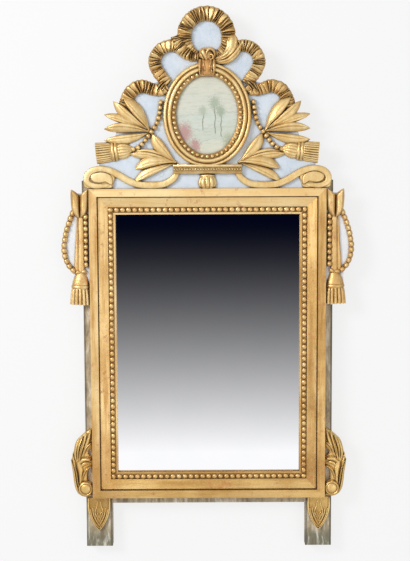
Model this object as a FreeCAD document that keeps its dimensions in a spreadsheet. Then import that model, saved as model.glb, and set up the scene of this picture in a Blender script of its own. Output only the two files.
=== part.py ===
"""Trumeau mirror in the Louis XVI manner: gilt bead-and-cove frame on a pine carcass,
a carved crest with an oval medallion, ribbon bow and laurel, and carved side pendants.

Frame of reference, millimetres: the origin is the centre of the mirror opening on the wall
plane, +X to the viewer's right, +Z up, +Y into the wall, so the front faces -Y.
"""
import FreeCAD, Part
import math
import os
import re
import Sketcher
from FreeCAD import Placement, Rotation, Vector

doc = FreeCAD.newDocument("trumeau_mirror")

# ---------------------------------------------------------------- driving sizes
SIZES = {
    # mirror opening and mitred moulding
    "sight_width": 403,
    "sight_height": 573,
    "moulding_width": 56,
    "moulding_depth": 21.5,
    "outer_band_width": 17,
    "quirk_width": 2.5,
    "quirk_depth": 2,
    "cove_rise": 16,
    "cove_foot": 9,
    "sight_fillet_width": 4,
    "sight_fillet_depth": 8,
    "bead_seat_width": 12,
    "bead_seat_depth": 6,
    "frame_bead_diameter": 10,
    "frame_bead_pitch": 11,
    "bead_strip_depth": 1.5,
    # carcass
    "stile_width": 58,
    "stile_depth": 26,
    "stile_top_reach": 17.5,
    "foot_length": 115.5,
    "rail_depth": 16,
    "bottom_rail_height": 58,
    "top_rail_height": 87,
    "rebate_width": 14.5,
    "tenon_length": 40,
    "tenon_depth": 8,
    "tenon_shoulder": 10,
    "tenon_clearance": 0.2,
    "peg_diameter": 7,
    "peg_edge_distance": 24,
    "peg_inset": 20,
    # glass and back
    "glass_depth": 4,
    "glass_clearance": 1.5,
    "silvering_depth": 0.4,
    "block_length": 40,
    "block_width": 12,
    "backboard_depth": 10,
    "backboard_lap": 20,
    "backboard_gap": 1,
    "nail_diameter": 2.4,
    "nail_length": 22,
    "nail_head_diameter": 6,
    "nail_head_depth": 1.2,
    "nail_edge_distance": 28,
    "nail_end_distance": 10,
    # crest board and its battens
    "crest_board_depth": 14,
    "board_inset": 6,
    "batten_width": 40,
    "batten_spacing": 144,
    "batten_reach": 215,
    "batten_foot_lap": 60,
    "screw_diameter": 4,
    "screw_head_diameter": 8,
    "screw_head_depth": 2.5,
    "screw_bite": 10,
    "screw_end_distance": 18,
    # oval medallion
    "medallion_width": 190,
    "medallion_height": 224,
    "medallion_lift": 45.5,
    "medallion_depth": 19,
    "medallion_ring_width": 28,
    "medallion_bead_seat": 9.5,
    "medallion_bead_diameter": 7.5,
    "medallion_bead_pitch": 9,
    "medallion_bead_margin": 0.75,
    "panel_depth": 5,
    "panel_lap": 5,
    "panel_clearance": 0.3,
    # ribbon bow
    "ribbon_width": 31,
    "loop_ribbon_width": 25,
    "ribbon_depth": 16,
    "ribbon_edge_depth": 10,
    "top_loop_diameter": 124,
    "top_loop_rise": 55,
    "shoulder_loop_diameter": 89,
    "shoulder_loop_inset": 15,
    "shoulder_loop_rise": 3,
    "tail_loop_diameter": 94,
    "tail_loop_reach": 46,
    "tail_loop_rise": 30,
    "knot_width": 38,
    "knot_height": 31,
    "knot_depth": 22,
    "wrap_length": 29,
    "wrap_proud": 3,
    # laurel, bead strings and crest tassels
    "leaf_width": 21,
    "leaf_depth": 15,
    "leaf_edge_depth": 5,
    "string_bead_diameter": 10,
    "string_bead_pitch": 11.7,
    "string_strip_width": 5,
    "string_strip_depth": 2.5,
    "tassel_radius": 23.5,
    "tassel_neck_radius": 5,
    "tassel_length": 84,
    "tassel_sink": 7,
    # plinth, bud and scrolls
    "plinth_width": 148,
    "plinth_height": 20,
    "plinth_depth": 16,
    "plinth_lap": 6,
    "plinth_fillet": 5,
    "plinth_fillet_proud": 3,
    "bud_radius": 19,
    "scroll_band_width": 19,
    "scroll_depth": 10,
    "scroll_clearance": 0.2,
    "scroll_tuck": 6,
    "volute_width": 63,
    "volute_height": 51,
    "volute_inset": 24.5,
    "volute_lift": 27,
    "volute_eye_width": 46,
    "volute_eye_height": 27,
    "volute_eye_depth": 3,
    "volute_eye_shift": 2,
    # side pendants
    "pendant_board_depth": 10,
    "pendant_depth": 15,
    "husk_bowl_radius": 16.5,
    "husk_petal_proud": 1.8,
    "pendant_stem_width": 14,
    "pendant_stem_depth": 6,
    "pendant_tassel_radius": 22,
    "pendant_tassel_length": 65,
    "pendant_tassel_drop": 183.5,
    # corner scrolls and foot leaves
    "corner_scroll_depth": 14,
    "corner_scroll_back": 14,
    "corner_leaf_depth": 21,
    "corner_eye_diameter": 28,
    "foot_leaf_width": 54,
    "foot_leaf_length": 71,
    "foot_leaf_depth": 10,
    "foot_leaf_edge_depth": 4,
    "foot_leaf_drop": 3.5,
    # hanging ring and staple
    "ring_wire_diameter": 4,
    "ring_diameter": 38,
    "ring_clearance": 0.3,
    "staple_wire_diameter": 2.5,
    "staple_wall_gap": 1,
    "staple_bite": 12,
    "staple_below_rail_top": 13,
}

sheet = doc.addObject("Spreadsheet::Sheet", "Sizes")
for row, (alias, number) in enumerate(SIZES.items(), start=1):
    sheet.set(f"A{row}", str(number))
    sheet.setAlias(f"A{row}", alias)
doc.recompute()


def formula(text):
    """The text with each size name spelt as a cell of the sheet."""
    return re.sub(r"[a-z]+(?:_[a-z]+)+", r"Sizes.\g<0>", text)


def bind(item, name, text):
    item.setExpression(name, formula(text))


def value(text):
    return float(sheet.evalExpression(formula(text)))


# Places that several pieces share, worked out from the sheet.
SIGHT_X = "(sight_width / 2)"
SIGHT_Z = "(sight_height / 2)"
EDGE_X = f"({SIGHT_X} + moulding_width)"
EDGE_Z = f"({SIGHT_Z} + moulding_width)"
STILE_IN = f"({SIGHT_X} + rebate_width)"
STILE_MIDDLE = f"({STILE_IN} + stile_width / 2)"
FOOT_Z = f"(-{EDGE_Z} - foot_length)"
STILE_LENGTH = f"({EDGE_Z} + stile_top_reach - {FOOT_Z})"
RAIL_EDGE = f"({SIGHT_Z} + rebate_width)"
RAIL_BACK = "(stile_depth - rail_depth)"
CREST_FRONT = "(stile_depth + crest_board_depth)"
OVAL_X = "(medallion_width / 2)"
OVAL_Z = "(medallion_height / 2)"
OVAL_CENTRE = f"({EDGE_Z} + medallion_lift + {OVAL_Z})"
OVAL_TOP = f"({OVAL_CENTRE} + {OVAL_Z})"
PENDANT_FRONT = "(stile_depth + pendant_board_depth)"


# ---------------------------------------------------------------- ways of making pieces
def place(item, spot, turn=Rotation()):
    """Turn the item and bind its position, three formulas in X, Y, Z order."""
    item.Placement = Placement(Vector(), turn)
    for axis, text in zip("xyz", spot):
        bind(item, f"Placement.Base.{axis}", text)


def primitive(kind, label, spot, turn=Rotation(), **sizes):
    item = doc.addObject(f"Part::{kind}", label)
    for name, text in sizes.items():
        bind(item, name, text)
    place(item, spot, turn)
    return item


def fused(label, items):
    item = doc.addObject("Part::MultiFuse", label)
    item.Shapes = items
    return item


def grouped(label, items):
    """Alike pieces in one node, still separate solids."""
    item = doc.addObject("Part::Compound", label)
    item.Links = items
    return item


def cut_by(label, blank, tool):
    item = doc.addObject("Part::Cut", label)
    item.Base = blank
    item.Tool = tool
    return item


def mirrored(label, source):
    """The same piece on the left-hand side."""
    item = doc.addObject("Part::Mirroring", label)
    item.Source = source
    item.Normal = Vector(1, 0, 0)
    return item


def carved(label, shape, spot=("0", "0", "0"), turn=Rotation()):
    """A carved piece whose surface is worked out in code."""
    item = doc.addObject("Part::Feature", label)
    item.Shape = shape
    place(item, spot, turn)
    return item


def outline(body, name, role, corners, lift=None):
    """A closed outline on one origin plane of the body, every corner bound to the sheet."""
    sketch = body.newObject("Sketcher::SketchObject", name)
    plane = next(item for item in body.Origin.OriginFeatures if item.Role == role)
    sketch.AttachmentSupport = (plane, [""])
    sketch.MapMode = "FlatFace"
    if lift:
        bind(sketch, "AttachmentOffset.Base.z", lift)
    first = sketch.GeometryCount
    add_loop(sketch, first, corners)
    return sketch


def add_loop(sketch, first, corners):
    points = [Vector(value(across), value(up), 0) for across, up in corners]
    for point, following in zip(points, points[1:] + points[:1]):
        sketch.addGeometry(Part.LineSegment(point, following))
    for number in range(len(points)):
        following = first + (number + 1) % len(points)
        sketch.addConstraint(Sketcher.Constraint("Coincident", first + number, 2, following, 1))
    for number, corner in enumerate(corners):
        for kind, text in zip(("DistanceX", "DistanceY"), corner):
            start = Sketcher.Constraint(kind, -1, 1, first + number, 1, value(text))
            bind(sketch, f"Constraints[{sketch.addConstraint(start)}]", text)


def rectangle(left, low, right, high):
    return [(left, low), (right, low), (right, high), (left, high)]


def solid_from(body, kind, name, sketch, length, midplane=False, reverse=False):
    """A Pad or Pocket of the sketch."""
    feature = body.newObject(f"PartDesign::{kind}", name)
    feature.Profile = sketch
    bind(feature, "Length", length)
    feature.Midplane = midplane
    feature.Reversed = reverse
    return feature


# ---------------------------------------------------------------- ways of carving, in code
def spot_on(x, z, depth=0.0):
    """A point at x, z and this far in front of the wall plane."""
    return Vector(x, -depth, z)


def headings(points):
    """The direction of a smooth path at each of its points."""
    chords = [after - before for before, after in zip(points, points[1:])]
    inner = []
    for before, after in zip(chords, chords[1:]):
        inner.append((before * (after.Length / before.Length)
                      + after * (before.Length / after.Length)).normalize())
    first = mirrored_heading(inner[0], chords[0])
    last = mirrored_heading(inner[-1], chords[-1])
    return [first] + inner + [last]


def mirrored_heading(heading, chord):
    unit = Vector(chord).normalize()
    return unit * (2 * heading.dot(unit)) - heading


def smooth_path(points):
    """Tangent arcs through the points, two from each point to the next, in path order."""
    ways = headings(points)
    edges = []
    for start, way, end, onward in zip(points, ways, points[1:], ways[1:]):
        chord = end - start
        both = way + onward
        spread = 2 * (1 - way.dot(onward))
        if spread < 1e-6:
            reach = chord.dot(chord) / (2 * chord.dot(both))
        else:
            push = chord.dot(both)
            reach = (math.sqrt(push * push + spread * chord.dot(chord)) - push) / spread
        middle = (start + end + (way - onward) * reach) * 0.5
        edges.append(arc_from(start, way, middle))
        turned_way = mirrored_heading(way, middle - start)
        edges.append(arc_from(middle, turned_way, end))
    return edges


def arc_from(start, way, end):
    """The arc that leaves start in this direction and reaches end."""
    chord = end - start
    side = Vector(0, 1, 0).cross(way)
    if abs(side.dot(chord)) < 1e-4 * chord.Length:
        return Part.LineSegment(start, end).toShape()
    radius = chord.dot(chord) / (2 * side.dot(chord))
    centre = start + side * radius
    halfway = (start + end) * 0.5 - centre
    bulge = halfway.normalize() * abs(radius)
    if chord.dot(way) < 0:
        bulge = -bulge
    return Part.Arc(start, centre + bulge, end).toShape()


def band(path, width, depth, edge_depth, base):
    """A ribbon of wood along the path, its back at base and its front crowned."""
    solids = []
    for edge in path:
        start = edge.valueAt(edge.FirstParameter)
        way = edge.tangentAt(edge.FirstParameter)
        across = Vector(0, 1, 0).cross(way) * (width / 2)
        back = Vector(start.x, -base, start.z)
        side = Vector(0, -edge_depth, 0)
        crown = Vector(0, -depth, 0)
        wire = Part.Wire([
            Part.LineSegment(back - across, back + across).toShape(),
            Part.LineSegment(back + across, back + across + side).toShape(),
            Part.Arc(back + across + side, back + crown, back - across + side).toShape(),
            Part.LineSegment(back - across + side, back - across).toShape(),
        ])
        section = Part.Face(wire)
        if isinstance(edge.Curve, Part.Circle):
            sweep = math.degrees(edge.LastParameter - edge.FirstParameter)
            solids.append(section.revolve(edge.Curve.Center, edge.Curve.Axis, sweep))
        else:
            solids.append(section.extrude(edge.valueAt(edge.LastParameter) - start))
    return joined(solids)


def joined(solids):
    whole = solids[0].multiFuse(solids[1:]) if len(solids) > 1 else solids[0]
    return whole.removeSplitter()


def plate(wire, base, depth):
    """The outline as a plate, its back this far from the wall."""
    face = Part.Face(wire)
    face.translate(Vector(0, -base - face.BoundBox.YMax, 0))
    return face.extrude(Vector(0, -depth, 0))


def closed_wire(edges):
    """The edges, closed by one straight line."""
    start = edges[0].valueAt(edges[0].FirstParameter)
    end = edges[-1].valueAt(edges[-1].LastParameter)
    return Part.Wire(edges + [Part.LineSegment(end, start).toShape()])


def lines(points):
    return [Part.LineSegment(start, end).toShape() for start, end in zip(points, points[1:])]


def oval(x, z, half_x, half_z, depth=0.0):
    """An ellipse that faces the viewer."""
    centre = spot_on(x, z, depth)
    wide = centre + Vector(half_x, 0, 0)
    tall = centre + Vector(0, 0, half_z)
    ends = (tall, wide) if half_z > half_x else (wide, tall)
    return Part.Wire([Part.Ellipse(*ends, centre).toShape()])


def round_plate(x, z, radius, base, depth):
    return Part.makeCylinder(radius, depth, spot_on(x, z, base), Vector(0, -1, 0))


def oval_ring(x, z, profile):
    """A closed ring round an oval; the profile lists half widths, half heights and depths."""
    rims = [oval(x, z, half_x, half_z, depth) for half_x, half_z, depth in profile]
    skins = []
    for rim, following in zip(rims, rims[1:] + rims[:1]):
        skins.append(Part.makeRuledSurface(rim.Edges[0], following.Edges[0]))
    shell = Part.makeShell(skins)
    shell.sewShape()
    ring = Part.makeSolid(shell)
    if ring.Volume < 0:
        ring.reverse()
    return ring


def leaf(root, tip, width, depth, edge_depth, base):
    """A lance-shaped leaf from root to tip with a crowned back."""
    along = tip - root
    length = along.Length
    middle = (root + tip) * 0.5
    side = Vector(0, 1, 0).cross(along).normalize() * (width / 2)
    rim = Part.Wire([
        Part.Arc(root, middle + side, tip).toShape(),
        Part.Arc(tip, middle - side, root).toShape(),
    ])
    blade = plate(rim, base, depth)
    rise = depth - edge_depth
    radius = (width * width / 4 + rise * rise) / (2 * rise)
    axis_start = Vector(root.x, -base - depth + radius, root.z) - along * 0.1
    barrel = Part.makeCylinder(radius, length * 1.2, axis_start, along)
    return blade.common(barrel)


def turned(profile, start, way, base, sink):
    """A turned form cut flat at the back; the profile lists distances and radii."""
    origin = Vector(start.x, -base + sink, start.z)
    ahead = Vector(way).normalize()
    front = Vector(0, -1, 0)
    rim = [origin + ahead * along + front * radius for along, radius in profile]
    rim = [origin + ahead * profile[0][0]] + rim + [origin + ahead * profile[-1][0]]
    section = Part.Face(Part.Wire(lines(rim + rim[:1])))
    whole = section.revolve(origin, ahead, 360)
    return whole.common(in_front_of(base))


def in_front_of(depth):
    """All the space in front of this depth, as far as any piece reaches."""
    reach = 4 * value(STILE_LENGTH)
    return Part.makeBox(reach, reach, reach, Vector(-reach / 2, -depth - reach, -reach / 2))


def bead(centre, radius, sunk):
    """A pearl that faces the viewer, cut flat this far behind its centre."""
    lowest = -math.degrees(math.asin(sunk / radius))
    return Part.makeSphere(radius, centre, Vector(0, -1, 0), lowest, 90, 360)


def bead_string(path, diameter, pitch, strip_width, strip_depth, base):
    """Beads at an even pitch along the path, carved with the strip that carries them."""
    length = sum(edge.Length for edge in path)
    count = max(2, round(length / pitch))
    stops = Part.Wire(path).discretize(Number=count + 1)
    beads = [bead(Vector(stop.x, -base - strip_depth, stop.z), diameter / 2, strip_depth)
             for stop in stops]
    strip = band(path, strip_width, strip_depth + diameter * 0.2, strip_depth, base)
    return joined([strip] + beads)


def trimmed(shape, *neighbours):
    """The shape without what its neighbours take, as its one largest solid."""
    left = shape.cut(list(neighbours))
    return max(left.Solids, key=lambda solid: solid.Volume)


# ---------------------------------------------------------------- carcass
def make_stile(label):
    """A stile and its foot in one length, morticed for both rails from its inner edge."""
    body = doc.addObject("PartDesign::Body", f"{label}_blank")
    face = outline(body, f"{label}_face", "XZ_Plane",
                   rectangle("0", "0", "stile_width", STILE_LENGTH))
    solid_from(body, "Pad", f"{label}_pad", face, "stile_depth")
    for name, (low, high) in TENONS.items():
        back = f"(-{RAIL_BACK} - (rail_depth - tenon_depth) / 2)"
        mortice = outline(body, f"{label}_{name}", "YZ_Plane",
                          rectangle(f"{back} - tenon_depth - tenon_clearance",
                                    f"{low} - {FOOT_Z} - tenon_clearance",
                                    f"{back} + tenon_clearance",
                                    f"{high} - {FOOT_Z} + tenon_clearance"))
        solid_from(body, "Pocket", f"{label}_{name}_mortice", mortice,
                   "tenon_length + tenon_clearance", reverse=True)
    place(body, (STILE_IN, "0", FOOT_Z))
    return body


def make_rail(label, low, high):
    """A rail with a tenon at each end."""
    body = doc.addObject("PartDesign::Body", f"{label}_blank")
    face = outline(body, f"{label}_face", "XZ_Plane",
                   rectangle(f"-{STILE_IN}", low, STILE_IN, high))
    solid_from(body, "Pad", f"{label}_pad", face, "rail_depth")
    reach = f"({STILE_IN} + tenon_length)"
    tongue = outline(body, f"{label}_tongue", "XZ_Plane",
                     rectangle(f"-{reach}", f"{low} + tenon_shoulder",
                               reach, f"{high} - tenon_shoulder"),
                     lift="(rail_depth - tenon_depth) / 2")
    solid_from(body, "Pad", f"{label}_tenons", tongue, "tenon_depth")
    place(body, ("0", f"-{RAIL_BACK}", "0"))
    return body


BOTTOM_RAIL = (f"(-{RAIL_EDGE} - bottom_rail_height)", f"(-{RAIL_EDGE})")
TOP_RAIL = (RAIL_EDGE, f"({RAIL_EDGE} + top_rail_height)")
TENONS = {
    "bottom": (f"({BOTTOM_RAIL[0]} + tenon_shoulder)", f"({BOTTOM_RAIL[1]} - tenon_shoulder)"),
    "top": (f"({TOP_RAIL[0]} + tenon_shoulder)", f"({TOP_RAIL[1]} - tenon_shoulder)"),
}
INTO_WALL = Rotation(Vector(1, 0, 0), -90)

pegs = []
for side in ("-", ""):
    for low, high in (BOTTOM_RAIL, TOP_RAIL):
        for height in (f"{low} + peg_edge_distance", f"{high} - peg_edge_distance"):
            spot = (f"{side}({STILE_IN} + peg_inset)", "-stile_depth", height)
            pegs.append(primitive("Cylinder", f"peg_{len(pegs) + 1}", spot, INTO_WALL,
                                  Radius="peg_diameter / 2", Height="stile_depth"))
joint_pegs = grouped("joint_pegs", pegs)

right_stile_blank = make_stile("right_stile")
left_stile_blank = mirrored("left_stile_blank", right_stile_blank)
bottom_rail_blank = make_rail("bottom_rail", *BOTTOM_RAIL)
top_rail_blank = make_rail("top_rail", *TOP_RAIL)


# ---------------------------------------------------------------- glass, blocks and back
GLASS_X = f"({STILE_IN} - glass_clearance)"
GLASS_LOW = f"({BOTTOM_RAIL[1]} + glass_clearance)"
GLASS_HIGH = f"({TOP_RAIL[0]} - glass_clearance)"
GLASS_BACK = "(stile_depth - glass_depth)"
SILVER_BACK = f"({GLASS_BACK} - silvering_depth)"

mirror_glass = primitive("Box", "mirror_glass", (f"-{GLASS_X}", "-stile_depth", GLASS_LOW),
                         Length=f"2 * {GLASS_X}", Width="glass_depth",
                         Height=f"{GLASS_HIGH} - {GLASS_LOW}")
silvering = primitive("Box", "silvering", (f"-{GLASS_X}", f"-{GLASS_BACK}", GLASS_LOW),
                      Length=f"2 * {GLASS_X}", Width="silvering_depth",
                      Height=f"{GLASS_HIGH} - {GLASS_LOW}")

blocks = []
for side, left in ((-1, f"-{STILE_IN}"), (1, f"{STILE_IN} - block_width")):
    for step in (-1, 0, 1):
        spot = (left, f"-{SILVER_BACK}", f"{step} * sight_height / 3 - block_length / 2")
        blocks.append(primitive("Box", f"block_{len(blocks) + 1}", spot,
                                Length="block_width", Height="block_length",
                                Width=f"{SILVER_BACK} - backboard_depth"))
glass_blocks = grouped("glass_blocks", blocks)

BOARD_PITCH = f"(2 * {STILE_IN} / 3)"
BOARD_LOW = f"({BOTTOM_RAIL[1]} - backboard_lap)"
BOARD_HIGH = f"({TOP_RAIL[0]} + backboard_lap)"


def make_nail(label, x, z):
    """A cut nail driven from the back, its head flush with the boards."""
    shank = primitive("Cylinder", f"{label}_shank", (x, "-nail_length", z), INTO_WALL,
                      Radius="nail_diameter / 2", Height="nail_length")
    head = primitive("Cylinder", f"{label}_head", (x, "-nail_head_depth", z), INTO_WALL,
                     Radius="nail_head_diameter / 2", Height="nail_head_depth")
    return fused(label, [shank, head])


nails = []
for board in (-1, 0, 1):
    for side in (-1, 1):
        across = f"{board} * {BOARD_PITCH} + {side} * ({BOARD_PITCH} / 2 - nail_edge_distance)"
        for up in (f"{BOARD_LOW} + nail_end_distance", f"{BOARD_HIGH} - nail_end_distance"):
            nails.append(make_nail(f"nail_{len(nails) + 1}", across, up))
backboard_nails = grouped("backboard_nails", nails)

backboard_blanks = {}
for board, name in ((-1, "backboard_left"), (0, "backboard_centre"), (1, "backboard_right")):
    left = f"({board} - 0.5) * {BOARD_PITCH} + backboard_gap / 2"
    blank = primitive("Box", f"{name}_blank", (left, "-backboard_depth", BOARD_LOW),
                      Length=f"{BOARD_PITCH} - backboard_gap", Width="backboard_depth",
                      Height=f"{BOARD_HIGH} - {BOARD_LOW}")
    backboard_blanks[name] = blank


# ---------------------------------------------------------------- hanging ring and staple
WIRE_GAP = "(ring_wire_diameter / 2 + ring_clearance + staple_wire_diameter / 2)"
RING_Y = f"(staple_wall_gap + staple_wire_diameter / 2 + {WIRE_GAP})"
STAPLE_Z = f"({TOP_RAIL[1]} - staple_below_rail_top)"

legs = []
for side in (-1, 1):
    spot = ("0", f"-{RAIL_BACK} - staple_bite", f"{STAPLE_Z} + {side} * {WIRE_GAP}")
    legs.append(primitive("Cylinder", f"staple_leg_{len(legs) + 1}", spot, INTO_WALL,
                          Radius="staple_wire_diameter / 2",
                          Height=f"{RAIL_BACK} + staple_bite - {RING_Y}"))
# A half turn that bulges towards the wall, between the two legs.
CROWN_TURN = Rotation(Vector(0, 0, -1), Vector(0, 1, 0), Vector(1, 0, 0), "ZXY")
crown = primitive("Torus", "staple_crown", ("0", f"-{RING_Y}", STAPLE_Z), CROWN_TURN,
                  Radius1=WIRE_GAP, Radius2="staple_wire_diameter / 2", Angle3="180")
hanging_staple = fused("hanging_staple", legs + [crown])
RING_RADIUS = "((ring_diameter - ring_wire_diameter) / 2)"
hanging_ring = primitive("Torus", "hanging_ring",
                         ("0", f"-{RING_Y}", f"{STAPLE_Z} - {RING_RADIUS}"), INTO_WALL,
                         Radius1=RING_RADIUS, Radius2="ring_wire_diameter / 2")


# ---------------------------------------------------------------- mitred moulding
MOULDING_TURNS = {"top": 0, "right": 90, "bottom": 180, "left": 270}
COVE_TOP = "(moulding_width - outer_band_width - quirk_width)"
BEAD_SEAT_EDGE = "(sight_fillet_width + bead_seat_width)"
MOULDING_PROFILE = [
    ("0", "0"),
    ("-sight_fillet_depth", "0"),
    ("-sight_fillet_depth", "sight_fillet_width"),
    ("-bead_seat_depth", "sight_fillet_width"),
    ("-bead_seat_depth", BEAD_SEAT_EDGE),
    ("-cove_foot", BEAD_SEAT_EDGE),
    ("-cove_rise", COVE_TOP),
    ("-cove_rise + quirk_depth", COVE_TOP),
    ("-cove_rise + quirk_depth", "moulding_width - outer_band_width"),
    ("-moulding_depth", "moulding_width - outer_band_width"),
    ("-moulding_depth", "moulding_width"),
    ("0", "moulding_width"),
]


def sides_of_frame(side):
    """Half the sight length of this side, and where its sight edge lies."""
    half, reach = (SIGHT_X, SIGHT_Z) if side in ("top", "bottom") else (SIGHT_Z, SIGHT_X)
    spots = {
        "top": ("0", "-stile_depth", reach),
        "bottom": ("0", "-stile_depth", f"-{reach}"),
        "right": (reach, "-stile_depth", "0"),
        "left": (f"-{reach}", "-stile_depth", "0"),
    }
    return half, spots[side]


def make_moulding(side):
    """One mitred length, drawn with its sight edge on the body's X axis."""
    half, spot = sides_of_frame(side)
    body = doc.addObject("PartDesign::Body", f"moulding_{side}")
    profile = outline(body, f"{side}_profile", "YZ_Plane", MOULDING_PROFILE)
    solid_from(body, "Pad", f"{side}_length", profile, f"2 * ({half} + moulding_width)", True)
    ends = outline(body, f"{side}_mitre_right", "XZ_Plane",
                   [(half, "0"), (f"{half} + moulding_width", "0"),
                    (f"{half} + moulding_width", "moulding_width")])
    add_loop(ends, ends.GeometryCount,
             [(f"-{half}", "0"), (f"-{half} - moulding_width", "0"),
              (f"-{half} - moulding_width", "moulding_width")])
    solid_from(body, "Pocket", f"{side}_mitres", ends, "3 * moulding_depth", True)
    place(body, spot, Rotation(Vector(0, 1, 0), MOULDING_TURNS[side]))
    return body


def make_bead_row(side):
    """Pearls at an even pitch on one mitred strip, seated beside the sight fillet."""
    half, spot = sides_of_frame(side)
    near = value("sight_fillet_width")
    far = value(BEAD_SEAT_EDGE)
    seat = value("bead_seat_depth")
    front = seat + value("bead_strip_depth")
    corners = [Vector(end * (value(half) + across), -seat, across)
               for end, across in ((-1, near), (1, near), (1, far), (-1, far))]
    strip = Part.Face(Part.makePolygon(corners + corners[:1])).extrude(Vector(0, seat - front, 0))
    middle = (near + far) / 2
    reach = value("frame_bead_diameter") / 2
    pitch = value("frame_bead_pitch")
    last = value(half) + middle - 1.3 * reach
    count = int(2 * last / pitch) + 1
    beads = []
    for number in range(count):
        along = (number - (count - 1) / 2) * pitch
        beads.append(bead(Vector(along, -front, middle), reach, front - seat))
    return carved(f"bead_row_{side}", joined([strip] + beads), spot,
                  Rotation(Vector(0, 1, 0), MOULDING_TURNS[side]))


mouldings = [make_moulding(side) for side in MOULDING_TURNS]
bead_rows = [make_bead_row(side) for side in MOULDING_TURNS]


# ---------------------------------------------------------------- oval medallion
BOARD_FACE = value(CREST_FRONT)
oval_x, oval_z = value(OVAL_X), value(OVAL_Z)
oval_centre, oval_top = value(OVAL_CENTRE), value(OVAL_TOP)
edge_x, edge_z = value(EDGE_X), value(EDGE_Z)


def medallion_rims(profile):
    """Rims of the medallion from pairs of inset and height above the crest board."""
    return [(oval_x - inset, oval_z - inset, BOARD_FACE + height) for inset, height in profile]


ring_width = value("medallion_ring_width")
ring_depth = value("medallion_depth")
bead_seat = value("medallion_bead_seat")
panel_depth = value("panel_depth")
panel_edge = ring_width - value("panel_lap")
bead_margin = value("medallion_bead_margin")
bead_zone = value("medallion_bead_diameter") + 2 * bead_margin
bead_edge = ring_width - bead_zone
medallion_shape = oval_ring(0, oval_centre, medallion_rims([
    (0, 0),
    (0, 0.7 * ring_depth),
    (0.2 * bead_edge, 0.92 * ring_depth),
    (0.42 * bead_edge, 0.9 * ring_depth),
    (0.53 * bead_edge, 0.7 * ring_depth),
    (0.64 * bead_edge, 0.9 * ring_depth),
    (0.8 * bead_edge, ring_depth),
    (bead_edge, bead_seat),
    (ring_width, bead_seat),
    (ring_width, panel_depth),
    (panel_edge, panel_depth),
    (panel_edge, 0),
]))
medallion_frame = carved("medallion_frame", medallion_shape)
medallion_block = plate(oval(0, oval_centre, oval_x, oval_z), BOARD_FACE, ring_depth)

panel_inset = panel_edge + value("panel_clearance")
panel_shape = plate(oval(0, oval_centre, oval_x - panel_inset, oval_z - panel_inset),
                    BOARD_FACE, panel_depth)
medallion_panel = carved("medallion_panel", panel_shape)


def medallion_bead_shape():
    """A ring of small pearls on the inner seat of the medallion frame."""
    strip_depth = value("bead_strip_depth")
    strip_front = bead_seat + strip_depth
    outer, inner = bead_edge + bead_margin, ring_width - bead_margin
    strip = plate(oval(0, oval_centre, oval_x - outer, oval_z - outer),
                  BOARD_FACE + bead_seat, strip_depth)
    strip = strip.cut(plate(oval(0, oval_centre, oval_x - inner, oval_z - inner),
                            BOARD_FACE + bead_seat, strip_depth))
    middle = ring_width - bead_zone / 2
    line = oval(0, oval_centre, oval_x - middle, oval_z - middle, BOARD_FACE + strip_front)
    count = round(line.Length / value("medallion_bead_pitch"))
    beads = [bead(stop, value("medallion_bead_diameter") / 2, strip_depth)
             for stop in line.discretize(Number=count + 1)[:-1]]
    return joined([strip] + beads)


medallion_beads = carved("medallion_beads", medallion_bead_shape())


# ---------------------------------------------------------------- ribbon bow
ribbon_depth = value("ribbon_depth")
ribbon_edge = value("ribbon_edge_depth")


def ribbon(path, width):
    return band(path, width, ribbon_depth, ribbon_edge, BOARD_FACE)


def knot_shape():
    """The knot above the medallion and the ribbon wrapped over the top of its frame."""
    width = value("knot_width")
    radius = value("knot_height") / 2
    rise = value("knot_depth") - radius
    bundle = turned([(0, 0.75 * radius), (0.15 * width, 0.95 * radius), (0.5 * width, radius),
                     (0.85 * width, 0.95 * radius), (width, 0.75 * radius)],
                    spot_on(-width / 2, oval_top + radius + 2), Vector(1, 0, 0),
                    BOARD_FACE, -rise)
    length = value("wrap_length")
    wrap = Part.makeBox(width, ring_depth + value("wrap_proud"), length + radius / 2,
                        spot_on(-width / 2, oval_top - length,
                                BOARD_FACE + ring_depth + value("wrap_proud")))
    return trimmed(joined([bundle, wrap]), medallion_block)


def loop_path(centre_x, centre_z, radius):
    """A whole turn of ribbon."""
    left, right = spot_on(centre_x - radius, centre_z), spot_on(centre_x + radius, centre_z)
    top, low = spot_on(centre_x, centre_z + radius), spot_on(centre_x, centre_z - radius)
    return [Part.Arc(left, top, right).toShape(), Part.Arc(right, low, left).toShape()]


def shoulder_path(centre_x, centre_z, radius):
    """From the knot up over the shoulder loop and down behind the medallion frame."""
    return smooth_path([
        spot_on(0.45 * value("knot_width"), oval_top + 6),
        spot_on(0.6 * centre_x, centre_z + 0.57 * radius),
        spot_on(centre_x, centre_z + radius),
        spot_on(centre_x + radius, centre_z),
        spot_on(centre_x + 0.5 * radius, centre_z - 0.87 * radius),
        spot_on(centre_x + 0.2 * radius, centre_z - 1.4 * radius),
    ])


def tail_path(centre_x, centre_z, radius):
    """From beside the medallion frame over the lower loop to behind the laurel."""
    return smooth_path([
        spot_on(centre_x - 1.42 * radius, centre_z + 0.62 * radius),
        spot_on(centre_x - 0.7 * radius, centre_z + 0.86 * radius),
        spot_on(centre_x, centre_z + radius),
        spot_on(centre_x + 0.72 * radius, centre_z + 0.62 * radius),
        spot_on(centre_x + radius, centre_z),
        spot_on(centre_x + 0.95 * radius, centre_z - 0.75 * radius),
    ])


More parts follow.
